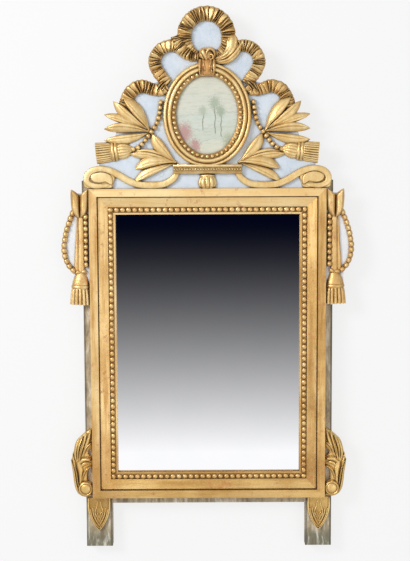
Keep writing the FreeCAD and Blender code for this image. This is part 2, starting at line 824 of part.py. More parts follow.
loop_width = value("loop_ribbon_width")
top_loop_z = oval_top + value("top_loop_rise")
top_loop_radius = (value("top_loop_diameter") - value("ribbon_width")) / 2
shoulder_x = oval_x - value("shoulder_loop_inset")
shoulder_z = oval_top + value("shoulder_loop_rise")
shoulder_radius = (value("shoulder_loop_diameter") - loop_width) / 2
tail_x = oval_x + value("tail_loop_reach")
tail_z = oval_centre + value("tail_loop_rise")
tail_radius = (value("tail_loop_diameter") - loop_width) / 2
bow_knot = carved("bow_knot", knot_shape())
shoulder_shape = trimmed(
    ribbon(shoulder_path(shoulder_x, shoulder_z, shoulder_radius), loop_width),
    medallion_block, bow_knot.Shape)
ACROSS = Vector(1, 0, 0)
top_loop_shape = trimmed(
    ribbon(loop_path(0, top_loop_z, top_loop_radius), value("ribbon_width")),
    bow_knot.Shape, shoulder_shape, shoulder_shape.mirror(Vector(), ACROSS), medallion_block)
bow_top_loop = carved("bow_top_loop", top_loop_shape)
bow_right_loop = carved("bow_right_loop", shoulder_shape)
bow_left_loop = mirrored("bow_left_loop", bow_right_loop)


# ---------------------------------------------------------------- laurel, strings, tassels
def by_oval(across, up):
    """A spot beside the medallion, from its right-hand edge and its centre."""
    return spot_on(oval_x + across, oval_centre + up)


def laurel(root, tips):
    """Leaves from one root; each tip is given with its leaf's width as a share."""
    leaves = []
    for across, up, share in tips:
        leaves.append(leaf(root, by_oval(across, up), share * value("leaf_width"),
                           value("leaf_depth"), value("leaf_edge_depth"), BOARD_FACE))
    return joined(leaves)


tassel_radius = value("tassel_radius")
tassel_length = value("tassel_length")
tassel_neck = by_oval(61, -72.5)
tassel_shape = turned([(0, value("tassel_neck_radius")),
                       (0.12 * tassel_length, 0.32 * tassel_radius),
                       (0.28 * tassel_length, 0.72 * tassel_radius),
                       (0.45 * tassel_length, 0.93 * tassel_radius),
                       (0.53 * tassel_length, 0.88 * tassel_radius),
                       (0.56 * tassel_length, tassel_radius),
                       (0.64 * tassel_length, tassel_radius),
                       (0.67 * tassel_length, 0.9 * tassel_radius),
                       (tassel_length, 0.95 * tassel_radius)],
                      tassel_neck, Vector(1, 0, -0.1), BOARD_FACE, value("tassel_sink"))
right_crest_tassel = carved("right_crest_tassel", tassel_shape)
left_crest_tassel = mirrored("left_crest_tassel", right_crest_tassel)

STRING_STOPS = [(4, 30), (8, 3), (15, -20), (29, -40), (44, -60), (58, -71)]
string_shape = trimmed(
    bead_string(smooth_path([by_oval(*stop) for stop in STRING_STOPS]),
                value("string_bead_diameter"), value("string_bead_pitch"),
                value("string_strip_width"), value("string_strip_depth"), BOARD_FACE),
    medallion_block, tassel_shape)
right_bead_string = carved("right_bead_string", string_shape)
left_bead_string = mirrored("left_bead_string", right_bead_string)

BRANCH_TIPS = [(84, 37, 1), (105, 27, 1), (124, 2, 0.9), (124, -29, 1), (131, -52, 0.8)]
branch_shape = trimmed(laurel(by_oval(31, -34), BRANCH_TIPS), string_shape, tassel_shape)
right_laurel_branch = carved("right_laurel_branch", branch_shape)
left_laurel_branch = mirrored("left_laurel_branch", right_laurel_branch)

tail_shape = trimmed(ribbon(tail_path(tail_x, tail_z, tail_radius), loop_width),
                     medallion_block, shoulder_shape, branch_shape, string_shape)
bow_right_tail = carved("bow_right_tail", tail_shape)
bow_left_tail = mirrored("bow_left_tail", bow_right_tail)


# ---------------------------------------------------------------- plinth, bud and scrolls
PLINTH_TOP = f"({EDGE_Z} + medallion_lift + plinth_lap)"
PLINTH_LOW = f"({PLINTH_TOP} - plinth_height)"


def make_plinth():
    """A short moulded shelf under the medallion, hollowed for the oval frame."""
    body = doc.addObject("PartDesign::Body", "crest_plinth_blank")
    back = f"-{CREST_FRONT}"
    face = f"{back} - plinth_depth + plinth_fillet_proud"
    profile = outline(body, "plinth_profile", "YZ_Plane",
                      [(back, PLINTH_LOW), (face, PLINTH_LOW),
                       (face, f"{PLINTH_TOP} - plinth_fillet"),
                       (f"{back} - plinth_depth", f"{PLINTH_TOP} - plinth_fillet"),
                       (f"{back} - plinth_depth", PLINTH_TOP), (back, PLINTH_TOP)])
    solid_from(body, "Pad", "plinth_width_pad", profile, "plinth_width", True)
    return cut_by("crest_plinth", body, medallion_frame)


crest_plinth = make_plinth()
doc.recompute()
plinth_shape = crest_plinth.Shape
plinth_low = value(PLINTH_LOW)

bud_radius = value("bud_radius")
bud_length = plinth_low - edge_z
bud_profile = [(0, 0.5 * bud_radius), (0.12 * bud_length, 0.8 * bud_radius),
               (0.28 * bud_length, bud_radius), (0.6 * bud_length, bud_radius),
               (0.8 * bud_length, 0.8 * bud_radius), (bud_length, 0.55 * bud_radius)]
plinth_bud = carved("plinth_bud", turned(bud_profile, spot_on(0, plinth_low),
                                         Vector(0, 0, -1), BOARD_FACE, 0))

SPRAY_TIPS = [(26, -46, 1.05), (72, -83, 0.8), (59, -113, 0.95), (64, -139, 0.8)]
spray_shape = trimmed(laurel(by_oval(-24, -100), SPRAY_TIPS),
                      medallion_block, plinth_shape, string_shape, tassel_shape, branch_shape)
right_laurel_spray = carved("right_laurel_spray", spray_shape)
left_laurel_spray = mirrored("left_laurel_spray", right_laurel_spray)

volute_x = edge_x - value("volute_inset")
volute_z = edge_z + value("volute_lift")
volute_half_x, volute_half_z = value("volute_width") / 2, value("volute_height") / 2


def scroll_shape():
    """An S-scroll from the plinth along the moulding up to its volute over the corner."""
    width = value("scroll_band_width")
    depth = value("scroll_depth")
    start = value("plinth_width") / 2 - value("scroll_tuck")
    low = edge_z + width / 2 + value("scroll_clearance")
    path = smooth_path([
        spot_on(start, plinth_low),
        spot_on(start + 23, low + 4),
        spot_on(start + 55, low),
        spot_on(start + 84, low + 3),
        spot_on(volute_x - 43, low + 24),
        spot_on(volute_x - 6, volute_z + volute_half_z - width / 2),
    ])
    disc = plate(oval(volute_x, volute_z, volute_half_x, volute_half_z), BOARD_FACE, depth)
    shift = value("volute_eye_shift")
    eye = plate(oval(volute_x - shift, volute_z - shift, value("volute_eye_width") / 2,
                     value("volute_eye_height") / 2),
                BOARD_FACE + depth, value("volute_eye_depth"))
    whole = joined([band(path, width, depth, 0.8 * depth, BOARD_FACE), disc, eye])
    return trimmed(whole, spray_shape, plinth_shape, tassel_shape)


right_scroll = carved("right_scroll", scroll_shape())
left_scroll = mirrored("left_scroll", right_scroll)


# ---------------------------------------------------------------- crest board and battens
def crest_board_shape():
    """One board cut just inside the outline of the carving that it carries."""
    inset = value("board_inset")
    back = value("stile_depth")
    depth = value("crest_board_depth")
    tassel_end = tassel_neck.x + tassel_length - inset
    tassel_low = tassel_neck.z - 0.1 * tassel_length - tassel_radius + inset
    corners = [
        (0, edge_z),
        (volute_x + volute_half_x - inset, edge_z),
        (volute_x + volute_half_x - inset, volute_z),
        (tassel_end, volute_z + volute_half_z - inset),
        (tassel_end, tassel_low + 2 * (tassel_radius - inset)),
        (oval_x + 105, oval_centre - 48),
        (oval_x + 97, oval_centre - 22),
        (oval_x + 92, oval_centre + 2),
        (tail_x + 0.9 * tail_radius, tail_z),
        (tail_x, tail_z + 0.9 * tail_radius),
        (shoulder_x + 24, shoulder_z - 43),
        (shoulder_x + 20, shoulder_z),
        (0, shoulder_z),
    ]
    half = plate(closed_wire(lines([spot_on(*corner) for corner in corners])), back, depth)
    rounds = [
        round_plate(shoulder_x, shoulder_z, shoulder_radius + loop_width / 2 - inset, back, depth),
        round_plate(tail_x, tail_z, tail_radius + loop_width / 2 - inset, back, depth),
        plate(oval(volute_x, volute_z, volute_half_x - inset, volute_half_z - inset), back, depth),
    ]
    right = joined([half] + rounds)
    top = round_plate(0, top_loop_z, top_loop_radius + value("ribbon_width") / 2 - inset,
                      back, depth)
    return joined([right, right.mirror(Vector(), ACROSS), top])


crest_board_blank = carved("crest_board_blank", crest_board_shape())


def make_batten(label, side):
    """A batten that stands on the top rail behind the crest, with a tongue down its back."""
    left = f"{side} * batten_spacing / 2 - batten_width / 2"
    upright = primitive("Box", f"{label}_upright", (left, "-stile_depth", TOP_RAIL[1]),
                        Length="batten_width", Width="stile_depth", Height="batten_reach")
    tongue = primitive("Box", f"{label}_tongue",
                       (left, f"-{RAIL_BACK}", f"{TOP_RAIL[1]} - batten_foot_lap"),
                       Length="batten_width", Width=RAIL_BACK, Height="batten_foot_lap")
    return fused(f"{label}_blank", [upright, tongue])


def make_screw(label, x, z, length):
    """A countersunk screw put in from the back."""
    shank = primitive("Cylinder", f"{label}_shank", (x, f"-({length})", z), INTO_WALL,
                      Radius="screw_diameter / 2", Height=length)
    head = primitive("Cone", f"{label}_head", (x, "-screw_head_depth", z), INTO_WALL,
                     Radius1="screw_diameter / 2", Radius2="screw_head_diameter / 2",
                     Height="screw_head_depth")
    return fused(label, [shank, head])


screws = []
for side in (-1, 1):
    across = f"{side} * batten_spacing / 2"
    for height, length in (
        (f"{TOP_RAIL[1]} - batten_foot_lap + screw_end_distance", f"{RAIL_BACK} + screw_bite"),
        (f"{TOP_RAIL[1]} - screw_end_distance", f"{RAIL_BACK} + screw_bite"),
        (f"{TOP_RAIL[1]} + batten_reach / 2", "stile_depth + screw_bite"),
        (f"{TOP_RAIL[1]} + batten_reach - screw_end_distance", "stile_depth + screw_bite"),
    ):
        screws.append(make_screw(f"screw_{len(screws) + 1}", across, height, length))
batten_screws = grouped("batten_screws", screws)


# ---------------------------------------------------------------- side pendants
PENDANT_FACE = value(PENDANT_FRONT)


def hung(across, drop):
    """A spot beside the frame, out from its edge and down from its top."""
    return spot_on(edge_x + across, edge_z - drop)


def pendant_board_shape():
    depth = value("pendant_board_depth")
    low = value("pendant_tassel_drop") + value("pendant_tassel_length") - value("board_inset")
    swell = [(37, 50), (51.5, 86.5), (59.5, 128), (56, 155), (39, 176)]
    rim = lines([hung(0, 10), hung(31, 10), hung(*swell[0])])
    rim += smooth_path([hung(*stop) for stop in swell])
    rim += lines([hung(*swell[-1]), hung(39, low), hung(0, low)])
    return plate(closed_wire(rim), value("stile_depth"), depth)


pendant_tassel_radius = value("pendant_tassel_radius")
pendant_tassel_length = value("pendant_tassel_length")
tassel_hang = hung(19.5, value("pendant_tassel_drop"))
hanging_tassel_shape = turned([(0, 0.5 * pendant_tassel_radius),
                               (0.2 * pendant_tassel_length, 0.7 * pendant_tassel_radius),
                               (0.33 * pendant_tassel_length, 0.92 * pendant_tassel_radius),
                               (0.47 * pendant_tassel_length, 0.95 * pendant_tassel_radius),
                               (0.5 * pendant_tassel_length, 0.86 * pendant_tassel_radius),
                               (pendant_tassel_length, pendant_tassel_radius)],
                              tassel_hang, Vector(0.06, 0, -1), PENDANT_FACE, 6)


def husk_shape():
    """A tulip husk, a bowl with two petals that part at the top, and the flat stem below."""
    depth = value("pendant_depth")
    stem_depth = value("pendant_stem_depth")
    stem = band(lines([hung(22, 56), hung(26, 184)]), value("pendant_stem_width"),
                stem_depth, 0.6 * stem_depth, PENDANT_FACE)
    bowl_radius = value("husk_bowl_radius")
    bowl = turned([(0, 0.25 * bowl_radius), (5, 0.7 * bowl_radius), (16, 0.96 * bowl_radius),
                   (35, 0.97 * bowl_radius)], hung(21.5, 57.5), Vector(0, 0, 1),
                  PENDANT_FACE, bowl_radius - depth + value("husk_petal_proud"))
    petals = [leaf(hung(15, 58), hung(8, 3), 18, depth, 6, PENDANT_FACE),
              leaf(hung(28, 58), hung(38, 0), 18, depth, 6, PENDANT_FACE)]
    return trimmed(joined([bowl, stem] + petals), hanging_tassel_shape)


husk = husk_shape()


def pendant_bead_shape():
    """The swag of beads outside the stem and the straight string inside it."""
    swag = [(38.5, 52), (51.5, 86.5), (59.5, 123.5), (59.5, 141.5),
            (54.5, 156.5), (44.5, 169.5), (31.5, 177.5)]
    strings = []
    for path in (smooth_path([hung(*stop) for stop in swag]),
                 lines([hung(8.5, 58), hung(8.5, 172)])):
        beads = bead_string(path, value("string_bead_diameter"), value("string_bead_pitch"),
                            value("string_strip_width"), value("string_strip_depth"),
                            PENDANT_FACE)
        strings.append(trimmed(beads, husk, hanging_tassel_shape))
    return Part.makeCompound(strings)


# ---------------------------------------------------------------- corner scrolls, foot leaves
def by_corner(across, up, depth=0.0):
    """A spot beside the lower corner of the moulding."""
    return spot_on(edge_x + across, up - edge_z, depth)


def corner_scroll_shape():
    """An acanthus scroll glued to the face and the edge of the stile."""
    face = value("stile_depth")
    back = face - value("corner_scroll_back")
    front = face + value("corner_scroll_depth")
    rim = [(0.5, 160), (31.5, 135.5), (45.5, 99.5), (49.5, 78), (43.5, 39.5),
           (29.5, 11), (12.5, 3.5), (0.5, 12)]
    wire = closed_wire(smooth_path([by_corner(*stop) for stop in rim]))
    block = plate(wire, back, front - back)
    crown = leaf(by_corner(22, 10), by_corner(6, 162), 62, value("corner_leaf_depth"), 6, face)
    crown = crown.common(plate(wire, face, value("corner_leaf_depth")))
    eye = round_plate(edge_x + 16, 26 - edge_z, value("corner_eye_diameter") / 2,
                      face, value("corner_leaf_depth") + 2)
    return trimmed(joined([block, crown, eye]), right_stile_blank.Shape)


def foot_leaf_shape():
    """A pointed leaf on the front of the foot, its top against the moulding."""
    half = value("foot_leaf_width") / 2
    length = value("foot_leaf_length")
    face = value("stile_depth")
    depth = value("foot_leaf_depth")
    top = -edge_z - value("foot_leaf_drop")
    middle = value(STILE_MIDDLE)
    sides = []
    for side in (-1, 1):
        sides.append([spot_on(middle + side * half * share, top - length * drop)
                      for share, drop in ((1, 0), (0.93, 0.3), (0.62, 0.64), (0, 1))])
    rim = smooth_path(sides[1]) + smooth_path(sides[0][::-1])
    rise = depth - value("foot_leaf_edge_depth")
    radius = (half * half + rise * rise) / (2 * rise)
    barrel = Part.makeCylinder(radius, 2 * length,
                               spot_on(middle, top - 1.5 * length, face + depth - radius))
    return plate(closed_wire(rim), face, depth).common(barrel)


RIGHT_HAND_CARVINGS = {
    "pendant_board": pendant_board_shape(),
    "pendant_tassel": hanging_tassel_shape,
    "husk": husk,
    "pendant_beads": pendant_bead_shape(),
    "corner_scroll": corner_scroll_shape(),
    "foot_leaf": foot_leaf_shape(),
}
for name, shape in RIGHT_HAND_CARVINGS.items():
    mirrored(f"left_{name}", carved(f"right_{name}", shape))


# ---------------------------------------------------------------- holes for the fastenings
fastenings = grouped("fastenings", [joint_pegs, backboard_nails, batten_screws, hanging_staple])
BLANKS = {
    "right_stile": right_stile_blank,
    "left_stile": left_stile_blank,
    "bottom_rail": bottom_rail_blank,
    "top_rail": top_rail_blank,
    "crest_board": crest_board_blank,
    "left_crest_batten": make_batten("left_crest_batten", -1),
    "right_crest_batten": make_batten("right_crest_batten", 1),
    **backboard_blanks,
}
for name, blank in BLANKS.items():
    cut_by(name, blank, fastenings)


# ---------------------------------------------------------------- check and write
SIDED = ["bead_string", "crest_tassel", "laurel_branch", "laurel_spray", "scroll",
         *RIGHT_HAND_CARVINGS]
NODES = [
    *BLANKS,
    "joint_pegs", "backboard_nails", "batten_screws",
    "mirror_glass", "silvering", "glass_blocks",
    "hanging_staple", "hanging_ring",
    *(f"moulding_{side}" for side in MOULDING_TURNS),
    *(f"bead_row_{side}" for side in MOULDING_TURNS),
    "medallion_frame", "medallion_beads", "medallion_panel",
    "bow_knot", "bow_top_loop", "bow_left_loop", "bow_right_loop",
    "bow_left_tail", "bow_right_tail",
    "crest_plinth", "plinth_bud",
    *(f"{hand}_{name}" for name in SIDED for hand in ("left", "right")),
]

doc.recompute()
for item in doc.Objects:
    faults = {"Invalid", "Error"} & set(item.State)
    if faults:
        raise RuntimeError(f"{item.Label} did not recompute: {faults}")
pieces = {item.Label: item for item in doc.Objects}
for name in NODES:
    shape = pieces[name].Shape
    if shape.isNull() or not shape.isValid() or shape.Volume <= 0:
        raise RuntimeError(f"{name} has no sound shape")

os.makedirs("parts", exist_ok=True)
for name in NODES:
    pieces[name].Shape.exportStep(f"parts/{name}.step")
print(f"{len(NODES)} nodes written")
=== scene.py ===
"""A carved and gilded trumeau mirror, dressed over its packed construction model.

Lengths are in millimetres in the model's own frame: X to the right, Y towards the wall, Z up.
The back of the object is at y = 0 and its front faces -Y. They become metres where a mesh is made.
"""
import bisect
import math
from random import Random

import bmesh
import bpy
from mathutils import Matrix, Vector, noise


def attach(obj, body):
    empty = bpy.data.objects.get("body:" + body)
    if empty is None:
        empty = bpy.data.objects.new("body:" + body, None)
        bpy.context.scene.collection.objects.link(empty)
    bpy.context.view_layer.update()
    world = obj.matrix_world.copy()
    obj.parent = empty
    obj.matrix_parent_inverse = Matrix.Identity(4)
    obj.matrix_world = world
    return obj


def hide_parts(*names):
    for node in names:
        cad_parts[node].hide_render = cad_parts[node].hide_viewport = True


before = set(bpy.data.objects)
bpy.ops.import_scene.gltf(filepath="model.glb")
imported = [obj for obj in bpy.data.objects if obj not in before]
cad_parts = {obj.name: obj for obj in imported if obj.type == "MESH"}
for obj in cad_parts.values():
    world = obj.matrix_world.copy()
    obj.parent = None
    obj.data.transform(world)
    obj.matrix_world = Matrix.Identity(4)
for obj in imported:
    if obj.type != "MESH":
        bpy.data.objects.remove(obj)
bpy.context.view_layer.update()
noise.seed_set(7)               # fixed, so that every run carves the same strays

MM = 0.001
SIDES = ((-1, "left"), (1, "right"))

# Places and sizes that the construction model gives.
EDGE_X, EDGE_Z = 257.5, 342.5   # outer edges of the mouldings
SIGHT_X, SIGHT_Z = 201.5, 286.5     # sight edges, around the glass
STILE_FACE = 26                 # distances from the wall to the faces that carry the carving
PENDANT_FACE = 36
CREST_FACE = 40
STILE_X = 245                   # the middle of a stile's face
FOOT_Z = -458                   # the bottom of the feet
OVAL_X, OVAL_Z = 95, 112        # half axes of the medallion
OVAL_CENTRE = 500               # how high its centre is
SINK = 1.0                      # how far each carving is let into what carries it
HAND = 0.35                     # how far the carver's hand strays from the drawn shape


# ---- lines
class Line:
    """A smooth line in the plane of the front through a few stops, measured along its length."""

    def __init__(self, stops, closed=False):
        stops = [Vector(stop) for stop in stops]
        count = len(stops)
        self.points = []
        for i in range(count if closed else count - 1):
            four = [stops[(i + k) % count if closed else min(max(i + k, 0), count - 1)]
                    for k in (-1, 0, 1, 2)]
            self.points += [self.between(four, step / 16) for step in range(16)]
        self.points.append(stops[0] if closed else stops[-1])
        self.marks = [0]
        for one, other in zip(self.points, self.points[1:]):
            self.marks.append(self.marks[-1] + (other - one).length)
        self.total = self.marks[-1]

    @staticmethod
    def between(four, t):
        a, b, c, d = four
        return 0.5 * (2 * b + (c - a) * t + (2 * a - 5 * b + 4 * c - d) * t ** 2
                      + (3 * b - a - 3 * c + d) * t ** 3)

    def at(self, mark):
        """The point at this length along the line, and the direction there."""
        mark = min(max(mark, 0), self.total)
        i = min(bisect.bisect_right(self.marks, mark), len(self.points) - 1)
        span = self.marks[i] - self.marks[i - 1]
        point = self.points[i - 1].lerp(self.points[i], (mark - self.marks[i - 1]) / span)
        before = self.points[max(i - 3, 0)]
        after = self.points[min(i + 2, len(self.points) - 1)]
        return point, (after - before).normalized()


def left_of(way):
    return Vector((-way.y, way.x))


def steps(count, first, last):
    """Evenly spaced values from first to last."""
    return [first + (last - first) * i / (count - 1) for i in range(count)]


def turns(count):
    """Evenly spaced angles once round."""
    return [2 * math.pi * i / count for i in range(count)]


def blend(stops, t):
    """The value at t of a smooth curve through pairs of place and value."""
    if t <= stops[0][0]:
        return stops[0][1]
    if t >= stops[-1][0]:
        return stops[-1][1]
    i = next(i for i, (place, _) in enumerate(stops) if place > t)
    (a, low), (b, high) = stops[i - 1], stops[i]
    before, after = stops[max(i - 2, 0)], stops[min(i + 1, len(stops) - 1)]
    span = b - a
    rise = (high - before[1]) / (b - before[0]) * span
    fall = (after[1] - low) / (after[0] - a) * span
    u = (t - a) / span
    return (low * (1 - 3 * u ** 2 + 2 * u ** 3) + high * (3 * u ** 2 - 2 * u ** 3)
            + rise * (u - 2 * u ** 2 + u ** 3) + fall * (u ** 3 - u ** 2))


def straight(stops, mark):
    """The value at mark on straight runs through pairs of place and value."""
    for (a, low), (b, high) in zip(stops, stops[1:]):
        if mark <= b:
            return low + (high - low) * (mark - a) / (b - a)
    return stops[-1][1]


# ---- forms
class Form:
    """The points and faces of one piece, in millimetres. side -1 mirrors what is added."""

    def __init__(self, side=1):
        self.side = side
        self.points = []
        self.faces = []
        self.looks = []

    def loft(self, rings, closed=False, look=0):
        """Skin through rings of equally many points, with an end face on each end ring."""
        first = len(self.points)
        size = len(rings[0])
        for ring in rings:
            self.points += [(x * self.side, y, z) for x, y, z in ring]
        count = len(rings)
        for i in range(count if closed else count - 1):
            here = first + i * size
            there = first + (i + 1) % count * size
            for j in range(size):
                k = (j + 1) % size
                self.faces.append((here + j, here + k, there + k, there + j))
        if not closed:
            self.faces.append(tuple(range(first + size - 1, first - 1, -1)))
            self.faces.append(tuple(range(first + (count - 1) * size, first + count * size)))
        self.looks += [look] * (len(self.faces) - len(self.looks))

    def sweep(self, line, marks, section, face, look=0):
        """Carries section(t), pairs of offset across the line and height, along the line."""
        rings = []
        for mark in marks:
            point, way = line.at(mark)
            rings.append(relief(point, left_of(way), section(mark / line.total), face))
        self.loft(rings, look=look)

    def dome(self, spot, reach, height, face, squash=1.0, turn=0.0, belly=0.35):
        """A pearl let into a face: a ball cut off behind its middle, a little out of round."""
        around, up = 12, 6
        tall = reach * squash
        rings = []
        for level in range(up):
            angle = -belly + (math.pi / 2 + belly) * level / up
            ring = []
            for a in turns(around):
                x, z = reach * math.cos(angle) * math.cos(a), tall * math.cos(angle) * math.sin(a)
                depth = height * (math.sin(angle) + math.sin(belly)) / (1 + math.sin(belly))
                ring.append((spot[0] + x * math.cos(turn) - z * math.sin(turn), -(face + depth),
                             spot[1] + x * math.sin(turn) + z * math.cos(turn)))
            rings.append(ring)
        first = len(self.points)
        self.loft(rings)
        self.faces.pop()
        self.looks.pop()
        self.points.append((spot[0] * self.side, -(face + height), spot[1]))
        top = first + (up - 1) * around
        for i in range(around):
            self.faces.append((top + i, top + (i + 1) % around, len(self.points) - 1))
            self.looks.append(0)


def relief(point, across, section, face):
    """One ring of a relief: pairs of offset across the line and height above the face."""
    return [(point.x + across.x * offset, -(face + height), point.y + across.y * offset)
            for offset, height in section]


def piece(name, form, looks, node, crease=38):
    """Makes the Blender object of a form, which stands for a node. looks are names in GILT, one
    for each number that the form's faces carry."""
    mesh = bpy.data.meshes.new(name)
    points = []
    for point in form.points:
        stray = noise.noise_vector(Vector(point) / 14) * HAND
        stray.y *= 0.6
        points.append((Vector(point) + stray) * MM)
    mesh.from_pydata(points, [], form.faces)
    for look in looks.split():
        mesh.materials.append(GILT[look])
    mesh.polygons.foreach_set("material_index", form.looks)
    shell = bmesh.new()
    shell.from_mesh(mesh)
    bmesh.ops.remove_doubles(shell, verts=shell.verts, dist=0.00002)
    bmesh.ops.recalc_face_normals(shell, faces=shell.faces)
    shell.to_mesh(mesh)
    shell.free()
    mesh.shade_smooth()
    mesh.set_sharp_from_angle(angle=math.radians(crease))
    item = bpy.data.objects.new(name, mesh)
    bpy.context.scene.collection.objects.link(item)
    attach(item, "frame")
    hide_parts(node)


# ---- materials
def tone(red, green, blue):
    """A colour from its 0 to 255 values, as light."""
    return tuple(((c / 255 + 0.055) / 1.055) ** 2.4 if c > 10 else c / 3294.6
                 for c in (red, green, blue)) + (1.0,)


class Nodes:
    """Short ways to make the nodes of one tree. Three numbers for a colour are its 0 to 255 tone,
    four are light as it is."""

    def __init__(self, tree):
        self.tree = tree

    def add(self, kind, sockets=None, **settings):
        node = self.tree.nodes.new(kind)
        for key, setting in settings.items():
            setattr(node, key, setting)
        for key, feed in (sockets or {}).items():
            self.feed(node.inputs[key], feed)
        return node

    def feed(self, socket, feed):
        if isinstance(feed, bpy.types.NodeSocket):
            self.tree.links.new(feed, socket)
        elif socket.type == "RGBA" and len(feed) == 3:
            socket.default_value = tone(*feed)
        else:
            socket.default_value = feed

    def apart(self, vector):
        return self.add("ShaderNodeSeparateXYZ", {"Vector": vector}).outputs

    def range(self, value, low, high, out_low=0.0, out_high=1.0):
        return self.add("ShaderNodeMapRange", {
            "Value": value, "From Min": low, "From Max": high,
            "To Min": out_low, "To Max": out_high}).outputs["Result"]

    def math(self, kind, one, other=0.5):
        return self.add("ShaderNodeMath", {0: one, 1: other}, operation=kind).outputs[0]

    def times(self, one, other):
        return self.math("MULTIPLY", one, other)

    def plus(self, one, other):
        return self.math("ADD", one, other)

    def away(self, value, middle):
        """How far a value is from the middle, either way."""
        return self.math("ABSOLUTE", self.math("SUBTRACT", value, middle))

    def ramp(self, value, stops):
        node = self.add("ShaderNodeValToRGB", {"Fac": value})
        elements = node.color_ramp.elements
        while len(elements) < len(stops):
            elements.new(0.5)
        for element, (place, colour) in zip(elements, stops):
            element.position = place
            element.color = tone(*colour) if len(colour) == 3 else colour
        return node.outputs["Color"]

    def mix(self, share, one, other):
        node = self.add("ShaderNodeMix", data_type="RGBA")
        colours = [socket for socket in node.inputs if socket.type == "RGBA"]
        for socket, feed in zip([node.inputs["Factor"]] + colours, (share, one, other)):
            self.feed(socket, feed)
        return [socket for socket in node.outputs if socket.type == "RGBA"][0]


class Look(Nodes):
    """A node material: one Principled surface, whose colour is laid on coat by coat."""

    def __init__(self, name, metallic=0.0, roughness=0.6):
        self.material = bpy.data.materials.new(name)
        self.material.use_nodes = True
        super().__init__(self.material.node_tree)
        self.surface = self.tree.nodes["Principled BSDF"].inputs
        self.surface["Metallic"].default_value = metallic
        self.surface["Roughness"].default_value = roughness
        coordinates = self.add("ShaderNodeTexCoord").outputs
        self.place = coordinates["Object"]
        self.facing = coordinates["Normal"]
        self.colour = None

    def stretched(self, stretch, turn=(0, 0, 0)):
        """The place in the object, scaled along each axis to draw a pattern out."""
        return self.add("ShaderNodeMapping", {"Vector": self.place, "Scale": stretch,
                                              "Rotation": turn}).outputs[0]

    def noise(self, scale, detail=4.0, rough=0.55, twist=0.0, place=None):
        return self.add("ShaderNodeTexNoise", {
            "Vector": place or self.place, "Scale": scale, "Detail": detail,
            "Roughness": rough, "Distortion": twist}).outputs["Fac"]

    def height(self):
        return self.apart(self.place)["Z"]

    def wall_side(self):
        """1 where a surface faces the wall."""
        return self.range(self.apart(self.facing)["Y"], 0.5, 0.8)

    def bare_wood(self):
        """Unpainted wood with its grain upright."""
        grain = self.noise(95, 3, 0.5, 0.6, self.stretched((1, 1, 0.06)))
        return self.ramp(grain, [(0.3, (128, 94, 60)), (0.6, (184, 144, 98))])

    def open_air(self, reach):
        """1 where a surface is open and down to 0 deep in a corner or groove."""
        return self.add("ShaderNodeAmbientOcclusion", {"Distance": reach * MM},
                        samples=8).outputs["AO"]

    def coat(self, share, tint):
        """Lays a colour over what is there, as thickly as share says."""
        self.colour = self.mix(share, self.colour, tint)

    def paint(self, roughness=None, metallic=None):
        """Gives the surface the coats laid so far."""
        self.feed(self.surface["Base Color"], self.colour)
        if roughness is not None:
            self.feed(self.surface["Roughness"], roughness)
        if metallic is not None:
            self.feed(self.surface["Metallic"], metallic)

    def bump(self, height, strength, depth):
        normal = self.surface["Normal"]
        sockets = {"Height": height, "Strength": strength, "Distance": depth * MM}
        if normal.links:
            sockets["Normal"] = normal.links[0].from_socket
        self.feed(normal, self.add("ShaderNodeBump", sockets).outputs["Normal"])


def gilding(name, light, deep, wear, reach, shade_and_grime, streak):
    """Water gilding: leaf with faint laps and streaks, red bole where it is rubbed, dirt and painted
    shade in the hollows, and a darker tone towards the bottom of the object. What faces the wall
    was never gilded and shows bare wood."""
    look = Look(name, metallic=0.7, roughness=0.45)
    broad = look.noise(9, 4)
    patch = look.noise(60, 5, 0.65)
    fine = look.noise(420, 4, 0.6)
    lap = look.noise(70, 5, 0.65, place=look.stretched(streak))
    look.colour = look.ramp(broad, [(0.35, deep), (0.62, light)])
    look.coat(look.range(patch, 0.35, 0.7, 0, 0.6), light)
    look.coat(look.range(lap, 0.46, 0.66, 0, 0.9), deep)
    look.coat(look.range(lap, 0.44, 0.3, 0, 0.6), (255, 234, 186))
    # Darker towards the bottom of the object.
    height_on_frame = look.plus(look.height(), look.range(broad, 0.3, 0.7, -0.06, 0.06))
    look.coat(look.range(height_on_frame, -0.18, -0.36, 0, 0.6), deep)
    look.coat(look.range(fine, 0.5, 0.75, 0, 0.3), (255, 238, 200))
    rubbed = look.times(look.range(patch, 0.56, 0.68), look.range(fine, 0.36, 0.6))
    rubbed = look.times(rubbed, wear)
    air = look.open_air(reach)
    hollow_shade_and_dirt = look.range(air, 0.66, 0.30)
    look.coat(rubbed, (186, 110, 70))
    # Darker out of hollows and in creases, from ambient occlusion: painted shade, with dirt.
    look.coat(look.times(look.range(air, 0.94, 0.5), 0.7 * shade_and_grime), (148, 106, 42))
    look.coat(look.times(hollow_shade_and_dirt, min(1, 0.95 * shade_and_grime)), (62, 38, 14))
    back = look.wall_side()
    look.coat(back, look.bare_wood())
    dull = look.math("MAXIMUM", look.math("MAXIMUM", rubbed, hollow_shade_and_dirt), back)
    look.paint(look.range(look.plus(dull, look.times(fine, 0.3)), 0, 1.1, 0.36, 0.8),
               look.range(dull, 0, 1, 0.75, 0.1))
    look.bump(look.noise(40, 5, 0.6), 0.35, 1.2)
    look.bump(lap, 0.2, 0.4)
    look.bump(fine, 0.25, 0.25)
    return look.material


